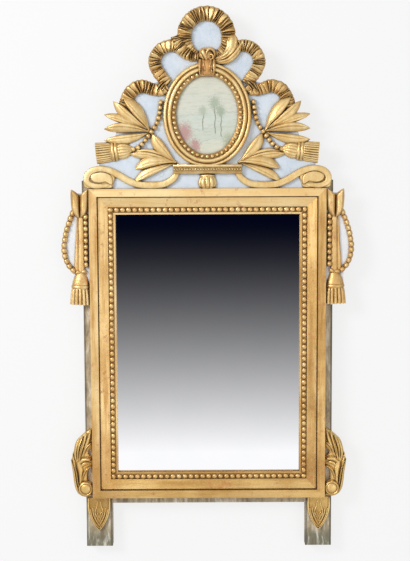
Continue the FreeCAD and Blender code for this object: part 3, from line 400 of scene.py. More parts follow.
def old_paint(name, colour, dim, dirt_and_shade, wear=None, shade_and_grime=0.9):
    """Matt paint on wood: brush marks, mottling, hairline cracks, and dirt and painted shade in the
    corners. Worn paint also has chalky and brown runs, dark edges to the stiles and stained feet.
    The wall side was never painted and shows bare wood."""
    look = Look(name, roughness=0.62)
    mottle = look.noise(26, 6, 0.65)
    brush = look.noise(90, 4, 0.6, place=look.stretched((1.0, 1.0, 0.16), (0, 0.5, 0)))
    look.colour = look.ramp(mottle, [(0.32, dim), (0.62, colour)])
    look.coat(look.range(brush, 0.3, 0.8, 0, 0.5), dim)
    cells = look.add("ShaderNodeTexVoronoi", {"Vector": look.stretched((1.0, 1.0, 0.6)),
                                              "Scale": 75}, feature="DISTANCE_TO_EDGE")
    crack = look.times(look.range(cells.outputs["Distance"], 0.012, 0.0),
                       look.range(look.noise(18), 0.45, 0.7))
    look.coat(look.times(crack, 0.5), dirt_and_shade)
    if wear:
        look.coat(look.times(look.range(look.noise(38, 7, 0.7), 0.54, 0.66), 0.8), wear)
        low = look.plus(look.range(look.height(), -0.40, -0.456), look.noise(22, 6, 0.7))
        look.coat(look.range(low, 0.7, 1.25, 0, 0.8), (104, 106, 88))
        runs = look.noise(75, 6, 0.7, 0.3, look.stretched((1.0, 1.0, 0.2)))
        look.coat(look.range(runs, 0.5, 0.62, 0, 0.8), (226, 218, 204))
        look.coat(look.range(runs, 0.47, 0.36, 0, 0.7), (112, 96, 76))
        beside = look.away(look.math("ABSOLUTE", look.apart(look.place)["X"]), STILE_X * MM)
        look.coat(look.times(look.range(beside, 0.0238, 0.0264, 0, 0.75),
                             look.range(beside, 0.0289, 0.0286)), (84, 80, 68))
    look.coat(look.wall_side(), look.bare_wood())
    # Darker in corners and beside the carvings: dirt and painted shade.
    look.coat(look.times(look.range(look.open_air(5), 0.78, 0.3), shade_and_grime), dirt_and_shade)
    look.paint(look.range(mottle, 0.3, 0.7, 0.5, 0.72))
    look.bump(brush, 0.25, 0.3)
    look.bump(crack, 0.3, -0.3)
    return look.material


def pine(name, stretch):
    """Bare aged pine: growth lines, flecks, plane marks and dust. Its grain runs along the axis
    whose stretch is small."""
    look = Look(name, roughness=0.7)
    wander = look.stretched(stretch)
    rings = look.noise(95, 3, 0.5, 0.6, wander)
    fleck = look.noise(900, 3, 0.6, 0, wander)
    look.colour = look.ramp(rings, [(0.28, (120, 84, 50)), (0.44, (176, 134, 88)),
                                    (0.6, (198, 160, 112)), (0.75, (150, 108, 66))])
    look.coat(look.range(fleck, 0.55, 0.8, 0, 0.4), (110, 78, 48))
    look.coat(look.range(look.noise(9, 5, 0.6), 0.45, 0.8, 0, 0.5), (104, 82, 62))
    # Darker in corners and recesses: painted shade.
    look.coat(look.range(look.open_air(12), 0.9, 0.35, 0, 0.75), (60, 44, 30))
    look.paint(0.72)
    look.bump(rings, 0.3, 0.4)
    look.bump(fleck, 0.3, 0.2)
    return look.material


# Each gilding: its light and deep leaf, how far it is worn, how far dirt and painted shade reach
# out of hollows, how much of them there is, and how its streaks are drawn out along X, Y and Z.
PLAIN = (1, 1, 0.35)
UPRIGHT = (1, 1, 0.08)
LEVEL = (0.08, 1, 1)
GILT = {name: gilding("gilding_" + name, *facts) for name, *facts in (
    ("bright", (250, 222, 162), (228, 188, 118), 0.5, 7, 1, PLAIN),
    ("warm", (246, 210, 146), (214, 168, 98), 0.7, 7, 1, PLAIN),
    ("low", (255, 234, 168), (244, 204, 130), 0.7, 3, 0.8, PLAIN),
    ("ground", (232, 194, 118), (174, 134, 68), 0.6, 4, 1, PLAIN),
    ("wrap", (238, 186, 120), (198, 140, 80), 1.0, 4, 1, PLAIN),
    # bed is a darker copy for grooves and the beds under pearls: painted shade, with dirt.
    ("bed", (186, 142, 78), (138, 94, 44), 0.5, 7, 1.3, PLAIN),
    # bed_dark is darker still, as painted shade on the top row under the top moulding.
    ("bed_dark", (128, 92, 48), (88, 62, 30), 0.5, 7, 1.3, PLAIN),
    ("ribbon", (250, 218, 154), (214, 170, 100), 0.5, 9, 1.1, PLAIN),
    ("ring", (252, 224, 162), (232, 190, 118), 0.5, 4, 0.8, PLAIN),
    ("corner", (252, 222, 154), (224, 184, 108), 0.6, 5, 0.9, PLAIN),
    # Painted light and shade: the left and top mouldings' giltings are lighter, the right and bottom
    # darker.
    ("left", (254, 218, 152), (200, 148, 78), 0.8, 7, 1, UPRIGHT),
    ("right", (242, 200, 126), (180, 130, 64), 0.8, 7, 1, UPRIGHT),
    ("top", (255, 228, 170), (242, 198, 128), 0.8, 7, 1, LEVEL),
    ("bottom", (246, 208, 134), (188, 140, 70), 0.9, 7, 1, LEVEL))}


# ---- ribbon bow
# One pleat along the ribbon: pairs of share of the pleat and height, a sharp rise and a long fall.
PLEAT = [(0, 0.0), (0.09, 0.7), (0.2, 1.0), (0.36, 0.94), (0.62, 0.5), (0.86, 0.14), (1, 0.0)]
PLEAT_STEPS = (0, 0.07, 0.15, 0.24, 0.36, 0.5, 0.64, 0.78, 0.92)
PLEAT_DEPTH = 0.42              # how deep pleats are cut, as a share of the ribbon's height
RUFFLE = 0.07                   # how far pleats push the ribbon's edges out


def ribbon(form, stops, width, height, pleat, rng):
    """A pleated ribbon in relief. Each pleat rises sharply and then sinks towards the next.

    width and height are lists of pairs of share of the length and millimetres."""
    line = Line(stops)
    starts = [0.0]
    while starts[-1] < line.total:
        starts.append(starts[-1] + pleat * rng.choice((0.55, 0.8, 1.0, 1.25, 1.6)))
    rings = []
    for start, end in zip(starts, starts[1:]):
        rise = rng.uniform(0.86, 1.06)
        tilt = rng.uniform(-0.12, 0.12)
        sink = rng.uniform(0.55, 1.15)
        for u in PLEAT_STEPS:
            mark = start + (end - start) * u
            if mark > line.total:
                break
            hump = blend(PLEAT, u)
            half = blend(width, mark / line.total) / 2
            top = blend(height, mark / line.total)
            point, way = line.at(mark)
            ring = []
            for offset in steps(13, -1, 1):
                bow = 1 - abs(offset) ** 5
                deep = PLEAT_DEPTH * sink * (0.8 + 0.4 * offset * offset)
                tall = top * (0.6 + 0.4 * bow) * rise * (1 - deep * (1 - hump))
                reach = half * (1 + RUFFLE * (hump - 0.5) * rise) * offset
                drift = tilt * half * offset + 0.9 * math.sin(2.6 * offset + start)
                spot = point + way * drift + left_of(way) * reach
                ring.append((spot.x, -(CREST_FACE + tall), spot.y))
            foot = -(CREST_FACE - SINK)
            rings.append([(ring[0][0], foot, ring[0][2])] + ring + [(ring[-1][0], foot, ring[-1][2])])
    form.loft(rings)


def folded(form, stops, width, height, folds, low):
    """A plain stretch of ribbon with folds that run along it: folds is how many, from edge to edge,
    and low how high their valleys are."""
    line = Line(stops)

    def section(t):
        half, top = blend(width, t) / 2, blend(height, t)
        pairs = [(-half, -SINK)]
        for offset in steps(19, -1, 1):
            wave = 0.5 + 0.5 * math.cos(math.pi * folds * (offset + 0.25 * t))
            edge = 1 - abs(offset) ** 4
            pairs.append((half * offset,
                          top * (low + (1 - low) * wave ** 0.6) * (0.55 + 0.45 * edge)))
        return pairs + [(half, -SINK)]

    form.sweep(line, steps(max(8, int(line.total / 1.5)), 0, line.total), section, CREST_FACE)


def make_bow():
    """The top loop, two shoulder loops and two tails, each with its own uneven pleats."""
    top = Form()
    crown = [(-1 + 47.5 * math.cos(a), 668 + 47.5 * math.sin(a)) for a in steps(9, 0, math.pi)]
    ribbon(top, [(15, 625), (30, 632), (43, 648)] + crown + [(-45, 649), (-31, 633), (-15, 626)],
           [(0, 14), (0.12, 24), (0.2, 29.5), (0.8, 29.5), (0.88, 25), (1, 14)],
           [(0, 8), (0.15, 12), (0.5, 15), (0.85, 13), (1, 9)], 6.0, Random(3))
    piece("ribbon_top_loop", top, "ribbon", "bow_top_loop")
    for (side, name), seed in zip(SIDES, (11, 23)):
        rng = Random(seed)
        loop = Form(side)
        ribbon(loop, [(16, 622), (36, 629), (56, 642), (80, 647.5), (101, 638), (112.5, 616),
                      (106, 594), (94, 578), (86, 566)],
               [(0, 14), (0.2, 22), (0.4, 25), (0.85, 26), (1, 24)],
               [(0, 8), (0.2, 11), (0.5, 13.5), (0.85, 13), (1, 9)], 6.6, rng)
        if name == "right":
            folded(loop, [(52, 672), (54, 657), (52, 643), (44, 631), (32, 622.5), (17, 619)],
                   [(0, 12), (0.15, 24), (0.35, 24), (0.6, 17), (1, 9)],
                   [(0, 8), (0.2, 14), (0.6, 16.5), (1, 12)], 2.0, 0.84)
            folded(loop, [(76, 655), (68, 641), (58, 628), (45, 617), (31, 613), (17, 614)],
                   [(0, 8), (0.3, 15), (0.6, 14.5), (1, 8)],
                   [(0, 11), (0.3, 14), (0.6, 14.5), (1, 11)], 1.6, 0.8)
        else:
            ribbon(loop, [(68, 668), (62, 652), (51, 638), (36, 627), (16, 623)],
                   [(0, 18), (0.3, 27), (0.7, 24), (1, 14)],
                   [(0, 11), (0.4, 16.5), (0.8, 15), (1, 11)], 5.6, rng)
        piece(f"ribbon_{name}_loop", loop, "ribbon", f"bow_{name}_loop")
        tail = Form(side)
        ribbon(tail, [(84, 560), (98, 552), (116, 555.5), (138, 562), (157, 556), (170, 540),
                      (177, 522), (181, 506)],
               [(0, 16), (0.16, 22), (0.4, 27), (0.8, 27), (1, 22)],
               [(0, 9), (0.2, 12), (0.5, 13), (0.8, 12), (1, 9)], 6.6, rng)
        folded(tail, [(83, 573), (93, 566), (103, 555), (112, 543)],
               [(0, 10), (0.5, 17), (1, 9)], [(0, 9), (0.5, 14.5), (1, 8)], 3.0, 0.5)
        piece(f"ribbon_{name}_tail", tail, "ribbon", f"bow_{name}_tail")


# The folds of the knot's bun: stops, widths, heights, and how high the valleys are.
BUN_FILL = [(0, 15), (0.4, 20), (0.8, 20), (1, 16)]
BUN_FOLDS = [
    ([(-1, 614), (-5, 624), (-9, 633), (-8, 641)], [(0, 5), (0.5, 16), (0.8, 15), (1, 7)],
     BUN_FILL, 0.75),
    ([(-5, 616), (-12, 624), (-15, 632)], [(0, 4), (0.6, 9), (1, 5)], BUN_FILL, 0.75),
    ([(0, 616), (-2, 628), (2, 637), (9, 639.5), (15.5, 633), (17, 623)],
     [(0, 4), (0.35, 8), (0.7, 8.5), (1, 4)], [(0, 16), (0.5, 21.5), (1, 17)], 0.8),
    ([(3, 622), (8, 628), (13, 625), (12, 618.5), (4, 618)], [(0, 4), (0.5, 8), (1, 4)],
     [(0, 15), (0.5, 20), (1, 16)], 0.8)]
# The folds on each half of the wrap under it: stops and widths.
WRAP_FOLDS = [
    ([(14.4, 618), (15, 603), (14.6, 585)], [(0, 7), (0.5, 8.6), (1, 5)]),
    ([(9, 618), (6.6, 604), (2.6, 588)], [(0, 7.5), (0.5, 8.4), (1, 4.5)]),
    ([(10.6, 602), (10.2, 594), (8.6, 585)], [(0, 2), (0.5, 4.6), (1, 3.5)])]
WRAP_LOW, WRAP_LENGTH = 582.5, 35.5


def make_knot():
    """A bun of two gathered lobes, the right one curling over, above a wrap whose folds cross."""
    form = Form()
    bun = []
    for share in (1.0, 0.99, 0.95, 0.88, 0.78, 0.65, 0.5, 0.33, 0.16, 0.02):
        top = 15 * (1 - share ** 3.4) ** 0.5 - (SINK if share == 1.0 else 0)
        bun.append([(18.5 * share * math.cos(angle), -(CREST_FACE + top),
                     627 + 17 * share * math.sin(angle) * (1 if math.sin(angle) > 0 else 0.8))
                    for angle in turns(48)])
    form.loft(bun)
    for stops, widths, heights, low in BUN_FOLDS:
        folded(form, stops, widths, heights, 1.0, low)
    wrap = []
    for z in steps(20, WRAP_LOW, WRAP_LOW + WRAP_LENGTH):
        t = (z - WRAP_LOW) / WRAP_LENGTH
        half = blend([(0, 17.5), (0.5, 18), (1, 19)], t)
        top = blend([(0, 11), (0.1, 16.5), (0.4, 19.4), (0.7, 19.2), (1, 13)], t)
        section = [(half * offset, top * (1 - 0.4 * offset ** 8)) for offset in steps(21, -1, 1)]
        wrap.append(relief(Vector((0, z)), Vector((1, 0)), [(-half, 1)] + section + [(half, 1)],
                           CREST_FACE))
    form.loft(wrap, look=1)
    for hand in (-1, 1):
        for stops, widths in WRAP_FOLDS:
            folded(form, [(hand * x, z) for x, z in stops], widths,
                   [(0, 16), (0.3, 22.4), (0.7, 22.6), (1, 17.5)], 1.0, 0.8)
    piece("ribbon_knot", form, "warm wrap", "bow_knot")


# ---- medallion
def oval_at(angle, inset):
    """A point this far inside the medallion's edge, and the way out there."""
    x, z = OVAL_X * math.cos(angle), OVAL_Z * math.sin(angle)
    out = Vector((x / OVAL_X ** 2, z / OVAL_Z ** 2)).normalized()
    return Vector((x, OVAL_CENTRE + z)) - out * inset, out


MEDALLION_PROFILE = [
    (0, -1), (0, 6), (0.6, 9.5), (1.8, 12.6), (3.7, 13.8), (5.9, 13.5), (7.1, 12.6), (7.6, 10.8),
    (9.4, 10.8), (9.9, 12.8), (10.9, 14.8), (13.4, 16.4), (16, 16.1), (17.6, 14.2), (18.3, 11.4),
    (27, 10.2), (28, 9.6), (28, 4), (28, -1)]
# The groove and the faces under the pearls take the darker bed gilding: painted shade.
MEDALLION_DARK = (7, 14, 15)    # the profile's faces that lie in its groove and under its pearls
MEDALLION_BEADS = 46


def make_medallion():
    ring = Form()
    rings = []
    for angle in turns(168):
        edge, out = oval_at(angle, 0)
        rings.append([(edge.x - out.x * inset, -(CREST_FACE + height), edge.y - out.y * inset)
                      for inset, height in MEDALLION_PROFILE])
    ring.loft(rings, closed=True)
    size = len(MEDALLION_PROFILE)
    ring.looks = [1 if i % size in MEDALLION_DARK else 0 for i in range(len(ring.faces))]
    piece("medallion_ring", ring, "ring bed", "medallion_frame", crease=50)
    pearls = Form()
    rng = Random(5)
    path = Line([oval_at(angle, 22.8)[0] for angle in turns(24)], closed=True)
    for i in range(MEDALLION_BEADS):
        spot, way = path.at(path.total * (i + 0.5) / MEDALLION_BEADS)
        pearls.dome(spot, rng.uniform(3.9, 4.4), rng.uniform(5.0, 5.8), CREST_FACE + 9.4,
                    rng.uniform(0.92, 1.04), math.atan2(way.y, way.x))
    piece("medallion_pearls", pearls, "bright", "medallion_beads")


# ---- laurel
LEAF_WIDTH = [(0, 0.2), (0.12, 0.3), (0.3, 0.68), (0.5, 0.96), (0.62, 1.0), (0.76, 0.9), (0.88, 0.62),
              (0.96, 0.28), (1, 0.04)]
LEAF_HEIGHT = [(0, 0.5), (0.25, 0.8), (0.55, 1.0), (0.85, 0.85), (1, 0.5)]


def laurel_leaf(form, root, tip, width, height, bend, lift, fold, vein):
    """A full leaf: a narrow stem, a smooth rounded blade creased along its vein, a pointed tip."""
    root, tip = Vector(root), Vector(tip)
    aside = left_of((tip - root).normalized())
    line = Line([root, root.lerp(tip, 0.33) + aside * bend * 0.85,
                 root.lerp(tip, 0.66) + aside * bend, tip])

    def section(t):
        half = width / 2 * blend(LEAF_WIDTH, t)
        top = lift + height * blend(LEAF_HEIGHT, t)
        pairs = [(-half, -SINK), (-half, 0.4 * top)]
        for offset in steps(17, -0.97, 0.97):
            dome = (1 - abs(offset) ** 3) ** 0.5
            crease = 1.4 * math.exp(-((offset - vein) / 0.1) ** 2) * min(1, 5 * t, 4 * (1 - t))
            pairs.append((half * offset, top * (0.5 + 0.5 * dome) * (1 + fold * offset) - crease))
        return pairs + [(half, 0.4 * top), (half, -SINK)]

    form.sweep(line, steps(34, 0, line.total), section, CREST_FACE)


# Leaves of the upper branch and of the lower spray: root, tip, width, height, bend, lift, how much
# one half stands above the other, and where the vein is between the edges, -1 and 1.
LAUREL = {
    "branch": [
        ((126, 462), (222, 447), 21, 9, -5, 0, 0.3, 0.2),
        ((124, 466), (222, 502), 19, 10, 4, 0, -0.3, -0.2),
        ((125, 468), (202, 530), 22, 11.5, -5, 0.5, 0.3, 0.2),
        ((124, 465), (222, 471), 21, 12, 5, 1.5, 0.3, 0.15),
        ((124, 468), (180, 539), 24, 13, 5, 2.5, -0.3, -0.3)],
    "spray": [
        ((73, 404), (156, 423), 18, 8, 3, 0, 0.25, 0.2),
        ((69, 398), (159, 358), 20, 9, 6, 0, -0.3, -0.2),
        ((68, 398), (120, 461), 24, 11.5, -5, 0.5, 0.3, 0.2),
        ((67, 400), (156, 386), 23, 12, 10, 1.5, -0.3, -0.2),
        ((66, 398), (168, 417), 18, 8.5, 3, 0.5, 0.25, 0.2)]}


def make_laurel():
    for side, name in SIDES:
        for part, leaves in LAUREL.items():
            form = Form(side)
            for leaf in leaves:
                laurel_leaf(form, *leaf)
            piece(f"laurel_{name}_{part}", form, "bright", f"{name}_laurel_{part}")


# ---- bead strings
def hung(dx, drop):
    """A place on the right pendant, from the top outer corner of the mouldings."""
    return (EDGE_X + dx, EDGE_Z - drop)


def string_of_beads(form, stops, reach, pitch, height, face, rng, squash=1.0):
    """Turned beads on a cord: each is a little out of round."""
    line = Line(stops)
    cord = [(-2.2, -SINK), (-2.2, 1.5), (0, 3.2), (2.2, 1.5), (2.2, -SINK)]
    form.sweep(line, steps(int(line.total / 3), 0, line.total), lambda t: cord, face)
    count = round(line.total / pitch)
    for i in range(count):
        spot, way = line.at(line.total * (i + 0.5) / count)
        form.dome(spot, reach * rng.uniform(0.93, 1.04), height * rng.uniform(0.92, 1.05), face,
                  squash * rng.uniform(0.95, 1.06), math.atan2(way.y, way.x), belly=0.5)


def barrel_string(form, stops, reach, pitch, height, face, rng):
    """Barrel beads that touch, carved in one from end to end."""
    line = Line(stops)
    count = round(line.total / pitch)
    rings = []
    for i in range(count):
        girth = rng.uniform(0.93, 1.05)
        for u in (0.0, 0.06, 0.16, 0.32, 0.5, 0.68, 0.84, 0.94):
            belly = (0.6 + 0.4 * math.sin(math.pi * u) ** 0.5) * girth
            point, way = line.at(line.total * (i + u) / count)
            section = [(-reach * belly * math.cos(angle), height * belly * math.sin(angle))
                       for angle in steps(13, 0, math.pi)]
            rings.append(relief(point, left_of(way), [(-reach * belly, -SINK)] + section
                                + [(reach * belly, -SINK)], face))
    form.loft(rings)


CREST_STRING = [(99, 533), (103, 503), (110, 480), (124, 460), (139, 440), (154, 428)]
OUTER_STRING = [(33.5, 47), (37, 54.5), (41.8, 65.7), (46.1, 77.8), (49.9, 89.8), (52.8, 102.1),
                (54.9, 114.7), (56, 127.4), (55.1, 140.1), (52.8, 151.7), (47.1, 164.4),
                (39.7, 173.9), (31.3, 179.8), (22, 181.5), (14, 180), (8.5, 176)]
INNER_STRING = [(7.4, 54), (7.4, 90), (7.4, 130), (7.4, 171)]


def make_strings():
    """The strings beside the medallion, and an outer and an inner one on each pendant."""
    for side, name in SIDES:
        rng = Random(40 + side)
        form = Form(side)
        string_of_beads(form, CREST_STRING, 5.7, 11.2, 12.5, CREST_FACE, rng)
        piece(f"string_{name}", form, "bright", f"{name}_bead_string")
        swag = Form(side)
        barrel_string(swag, [hung(*stop) for stop in OUTER_STRING], 6.2, 12.3, 10.5, PENDANT_FACE,
                      rng)
        string_of_beads(swag, [hung(*stop) for stop in INNER_STRING], 7.3, 13, 11.5, PENDANT_FACE,
                        rng, squash=0.86)
        piece(f"swag_{name}", swag, "warm", f"{name}_pendant_beads")


# ---- turned forms
def half_round(form, root, way, profile, face, flat, ribs, scallop, around):
    """Half of a turned form lying on a face, along a way in the plane of the front.

    profile holds distance along and radius, and flat how far it is pressed. ribs is a list of
    (start, end, count, depth, skew), stretches whose surface is cut into rounded ribs. scallop
    lets the last ring follow the ribs."""
    root, way = Vector(root), Vector(way).normalized()
    across = left_of(way)
    total = profile[-1][0]
    marks = []
    for (a, _), (b, _) in zip(profile, profile[1:]):
        marks += [a + (b - a) * k / 4 for k in range(4)]
    rings = []
    for mark in marks + [total]:
        radius = straight(profile, mark)
        ring = []
        for i in range(around + 1):
            angle = -math.pi / 2 + math.pi * i / around
            cut = 0.0
            shift = 0.0
            for start, end, count, depth, skew in ribs:
                if start <= mark <= end:
                    turn = count * (angle / math.pi + 0.5) + skew * (mark - start) / (end - start)
                    groove = 1 - abs(math.sin(math.pi * turn)) ** 0.55
                    ease = min(1, (mark - start) / 3 + 0.25)
                    if end < total:
                        ease = min(ease, (end - mark) / 3 + 0.25)
                    cut = depth * groove * ease
                    shift = scallop * (groove - 0.4) if mark == total else 0
            here = radius * (1 - cut)
            spot = root + way * (mark - shift) + across * here * math.sin(angle)
            ring.append((spot.x, -(face - SINK + (flat * here + SINK) * math.cos(angle)), spot.y))
        rings.append(ring)
    form.loft(rings)


CREST_TASSEL = [(0, 5), (3, 6.5), (6, 6), (8, 8.5), (14, 13.5), (20, 17.2), (27, 18.8), (34, 18.2),
                (37.5, 17.2), (38.5, 20.2), (41, 21.4), (43.5, 20.2), (44.5, 18.8), (45.5, 20.8),
                (48, 22.0), (50.5, 20.8), (51.5, 19), (53, 20.2), (58, 21.6), (70, 22.4), (84, 23.2)]
BUD = [(0, 14), (2, 17), (4.5, 17.4), (6, 15.8), (8, 17), (13, 20), (20, 21), (26, 19.5),
       (30.2, 14.5)]


def make_crest_tassels():
    """A tassel at the end of each bead string: a gadrooned head, two rings and a fluted fringe."""
    for side, name in SIDES:
        form = Form(side)
        half_round(form, (156, 427.5), (1, -0.1), CREST_TASSEL, CREST_FACE, 0.7,
                   [(7, 37, 7, 0.12, 0.35), (52, 84, 12, 0.2, 0.12)], 2.5, 144)
        piece(f"tassel_{name}", form, "bright", f"{name}_crest_tassel")


def make_bud():
    """The gadrooned bell under the plinth."""
    form = Form()
    half_round(form, (0, 373.6), (0, -1), BUD, CREST_FACE, 0.72, [(7, 31, 5, 0.2, 0.0)], 1.0, 80)
    piece("bud", form, "bright", "plinth_bud")


# ---- plinth and scrolls
PLINTH_PROFILE = [
    (394, -1), (394, 15.5), (392.6, 16), (390, 15.8), (388.6, 14.2), (388, 11.2), (380.2, 11),
    (379.6, 13.6), (378.2, 14.6), (376, 13.2), (374.6, 9.6), (374, -1)]
PLINTH_LENGTH = 148
PLINTH_PEARLS = 26


def make_plinth():
    """The shelf under the medallion: a fillet, a row of small pearls and a foot moulding."""
    form = Form()
    form.loft([[(x, -(CREST_FACE + height - ease * (height > 0)), z)
                for z, height in PLINTH_PROFILE]
               for x, ease in ((-74, 1), (-73, 0), (73, 0), (74, 1))])
    rng = Random(8)
    for i in range(PLINTH_PEARLS):
        x = (i + 0.5 - PLINTH_PEARLS / 2) * PLINTH_LENGTH / PLINTH_PEARLS
        form.dome((x, 384.2), rng.uniform(2.35, 2.65), rng.uniform(2.6, 3.2), CREST_FACE + 10.5)
    piece("plinth", form, "bright", "crest_plinth", crease=45)


# The right scroll: the line of its band from the plinth out and round the eye, the edge of the
# block that carries the volute, and the edge of the eye.
SCROLL = [(66, 378), (73, 365), (91, 353.5), (108, 350.6), (123, 350.2), (140, 350.8), (155, 353.5),
          (172, 360.5), (190, 371), (207, 380), (225, 385.3), (240, 385), (253, 379.5),
          (261, 368.5), (259.5, 357), (249, 350.6), (237, 348.9), (224, 349.6), (213, 351.5)]
SCROLL_HALF = [(0, 6), (0.1, 7), (0.55, 7.2), (0.64, 6.6), (0.72, 7), (0.8, 7), (0.86, 6),
               (0.93, 5.4), (1, 3)]
SCROLL_TOP = [(0, 8.6), (0.55, 8.8), (0.7, 10.2), (0.9, 9.8), (1, 8)]
VOLUTE = (236, 366)
VOLUTE_EDGE = [(200, 365), (203.5, 355.5), (206, 346.5), (212, 343.8), (237, 343.4), (258, 343.8),
               (265.5, 347), (268, 357), (268, 368), (264, 379.5), (250, 388), (228, 390),
               (208, 384), (201, 374)]
EYE = (229, 367)
GROOVE = (208, 363)             # the groove round the eye is widest away from here
EYE_EDGE = [(252.4, 367.6), (250.2, 373.2), (242.4, 377.2), (229.6, 378.9), (218.2, 376.7),
            (209.6, 371.9), (205.3, 364.3), (204.8, 356.5), (207.5, 351.4), (216, 356.8),
            (221, 358), (232.4, 356), (242.4, 356.8), (249.8, 361.6)]


def cushion(form, edge, centre, levels, look=0):
    """A raised shape inside a closed edge. levels holds shares of the way out and heights."""
    outline = Line(edge, closed=True)
    rim = [outline.at(outline.total * i / 96)[0] for i in range(96)]
    middle = Vector(centre)
    form.loft([[(spot.x, -(CREST_FACE + height), spot.y)
                for spot in (middle.lerp(point, share) for point in rim)]
               for share, height in levels], look=look)


def scroll_section(t):
    """A flat band with a small step along each edge."""
    half, top = blend(SCROLL_HALF, t), blend(SCROLL_TOP, t)
    return [(-half, -SINK), (-half, top - 2.4), (-0.9 * half, top - 0.8), (-0.76 * half, top),
            (0, top - 0.1), (0.76 * half, top), (0.9 * half, top - 0.8), (half, top - 2.4),
            (half, -SINK)]


def make_scrolls():
    """Flat bands that sweep out from the plinth and wind round a smooth eye."""
    for side, name in SIDES:
        form = Form(side)
        line = Line(SCROLL)
        form.sweep(line, steps(200, 0, line.total), scroll_section, CREST_FACE)
        cushion(form, VOLUTE_EDGE, VOLUTE, ((1, -SINK), (1, 4), (0.985, 5.8), (0.95, 6.8),
                                            (0.85, 7.2), (0.5, 7.2), (0.05, 7.2)))
        # A dark floor to the groove round the eye, in the darker bed gilding: painted shade.
        cushion(form, EYE_EDGE, GROOVE, ((1.1, 6), (1.1, 7.5), (0.5, 7.6), (0.05, 7.6)), look=1)
        cushion(form, EYE_EDGE, EYE, ((1, 6), (1, 8.6), (0.985, 9.8), (0.955, 10.5), (0.88, 10.9),
                                      (0.6, 11.1), (0.3, 11.2), (0.05, 11.2)))
        piece(f"scroll_{name}", form, "bright bed", f"{name}_scroll", crease=50)


# ---- leaf carving
def petal(form, place, levels, tops, face, base=-SINK, edge=0.5):
    """A broad leaf, level by level: where its two edges are and how high it stands."""
    rings = []
    first, last = levels[0][0], levels[-1][0]
    for level, low, high in levels:
        top = blend(tops, (level - first) / (last - first))
        middle, half = (low + high) / 2, (high - low) / 2
        section = [(half * offset, top * (1.0 - edge * abs(offset) ** 2.8))
                   for offset in steps(15, -1, 1)]
        rings.append(relief(Vector(place(middle, level)), Vector((1, 0)),
                            [(-half, base)] + section + [(half, base)], face))
    form.loft(rings)


def lobe(form, stops, widths, heights, face, base=-SINK, crown=0.3, vein=0, look=0):
    """One lobe of carved leaf along a line. crown rounds it and vein cuts it."""
    line = Line(stops)

    def section(t):
        half, top = blend(widths, t) / 2, blend(heights, t)
        pairs = [(half * offset, top * (1 - crown * abs(offset) ** 2.2)
                  - vein * math.exp(-(offset / 0.16) ** 2)) for offset in steps(17, -0.97, 0.97)]
        return ([(-half, base), (-half, 0.35 * top)] + pairs
                + [(half, 0.35 * top), (half, base)])

    form.sweep(line, steps(max(16, int(line.total / 1.5)), 0, line.total), section, face, look)


# ---- side pendants
# The husk's two petals: drop, and where each is widest out and in, from the mouldings' edge.
OUTER_PETAL = [(1.5, 36.4, 38.2), (4, 32.4, 38.8), (7, 28, 39.1), (10.5, 24.2, 39.3),
               (14.5, 21.3, 39.4), (20, 20.8, 39.3), (30, 20.8, 38.9), (38, 20.8, 38.2),
               (44, 20.6, 37.4), (50, 20.3, 35.6), (55, 20, 32.6), (58.5, 19.9, 29),
               (61, 19.8, 25.2), (62.6, 19.7, 21.5)]
INNER_PETAL = [(2, 1.7, 3.4), (5, 1.4, 8.5), (8.5, 1.1, 14.2), (12, 1.0, 17.8), (15, 1.0, 19),
               (20, 1.0, 19.3), (30, 1.2, 19.4), (38, 1.8, 19.4), (44, 2.6, 19.4),
               (50, 4.2, 19.4), (55, 7, 19.4), (58.5, 10.6, 19.4), (61, 14.6, 19.4),
               (62.6, 18, 19.4)]
PETAL_TOPS = [(0, 15.9), (0.12, 16.5), (0.3, 14.7), (0.7, 15.2), (0.9, 13), (1, 8)]
PENDANT_TASSEL = [(0, 11), (3, 11.8), (8, 13.8), (14, 16), (20, 18), (25, 19.2), (26, 18.6),
                  (27, 20), (30, 20.9), (33, 19.8), (34, 18.8), (36, 20), (45, 21.6), (56, 22.6),
                  (68, 23.2)]


def make_pendants():
    """On each side a tulip husk, its fluted stem and a tassel with broad strands."""
    for side, name in SIDES:
        husk = Form(side)
        lobe(husk, [hung(18, 52), hung(18, 110), hung(18.6, 184)],
             [(0, 11), (0.5, 12.5), (1, 14)], [(0, 7), (1, 7.5)], PENDANT_FACE)
        lobe(husk, [hung(25.4, 58), hung(27, 110), hung(29, 165), hung(28, 182)],
             [(0, 2.5), (0.4, 5.4), (0.85, 9), (1, 7)], [(0, 5.5), (1, 6)], PENDANT_FACE)
        petal(husk, hung, OUTER_PETAL, PETAL_TOPS, PENDANT_FACE)
        petal(husk, hung, INNER_PETAL, PETAL_TOPS, PENDANT_FACE)
        piece(f"husk_{name}", husk, "warm", f"{name}_husk")
        tassel = Form(side)
        half_round(tassel, hung(20, 183.5), (0.03, -1), PENDANT_TASSEL, PENDANT_FACE, 0.66,
                   [(34, 68, 7, 0.3, 0.1)], 3.0, 112)
        piece(f"hanging_tassel_{name}", tassel, "warm", f"{name}_pendant_tassel")


# ---- corner scrolls and feet
def corner(dx, rise):
    """A place on the right corner scroll, from the bottom outer corner of the mouldings."""
    return (EDGE_X + dx, -EDGE_Z + rise)


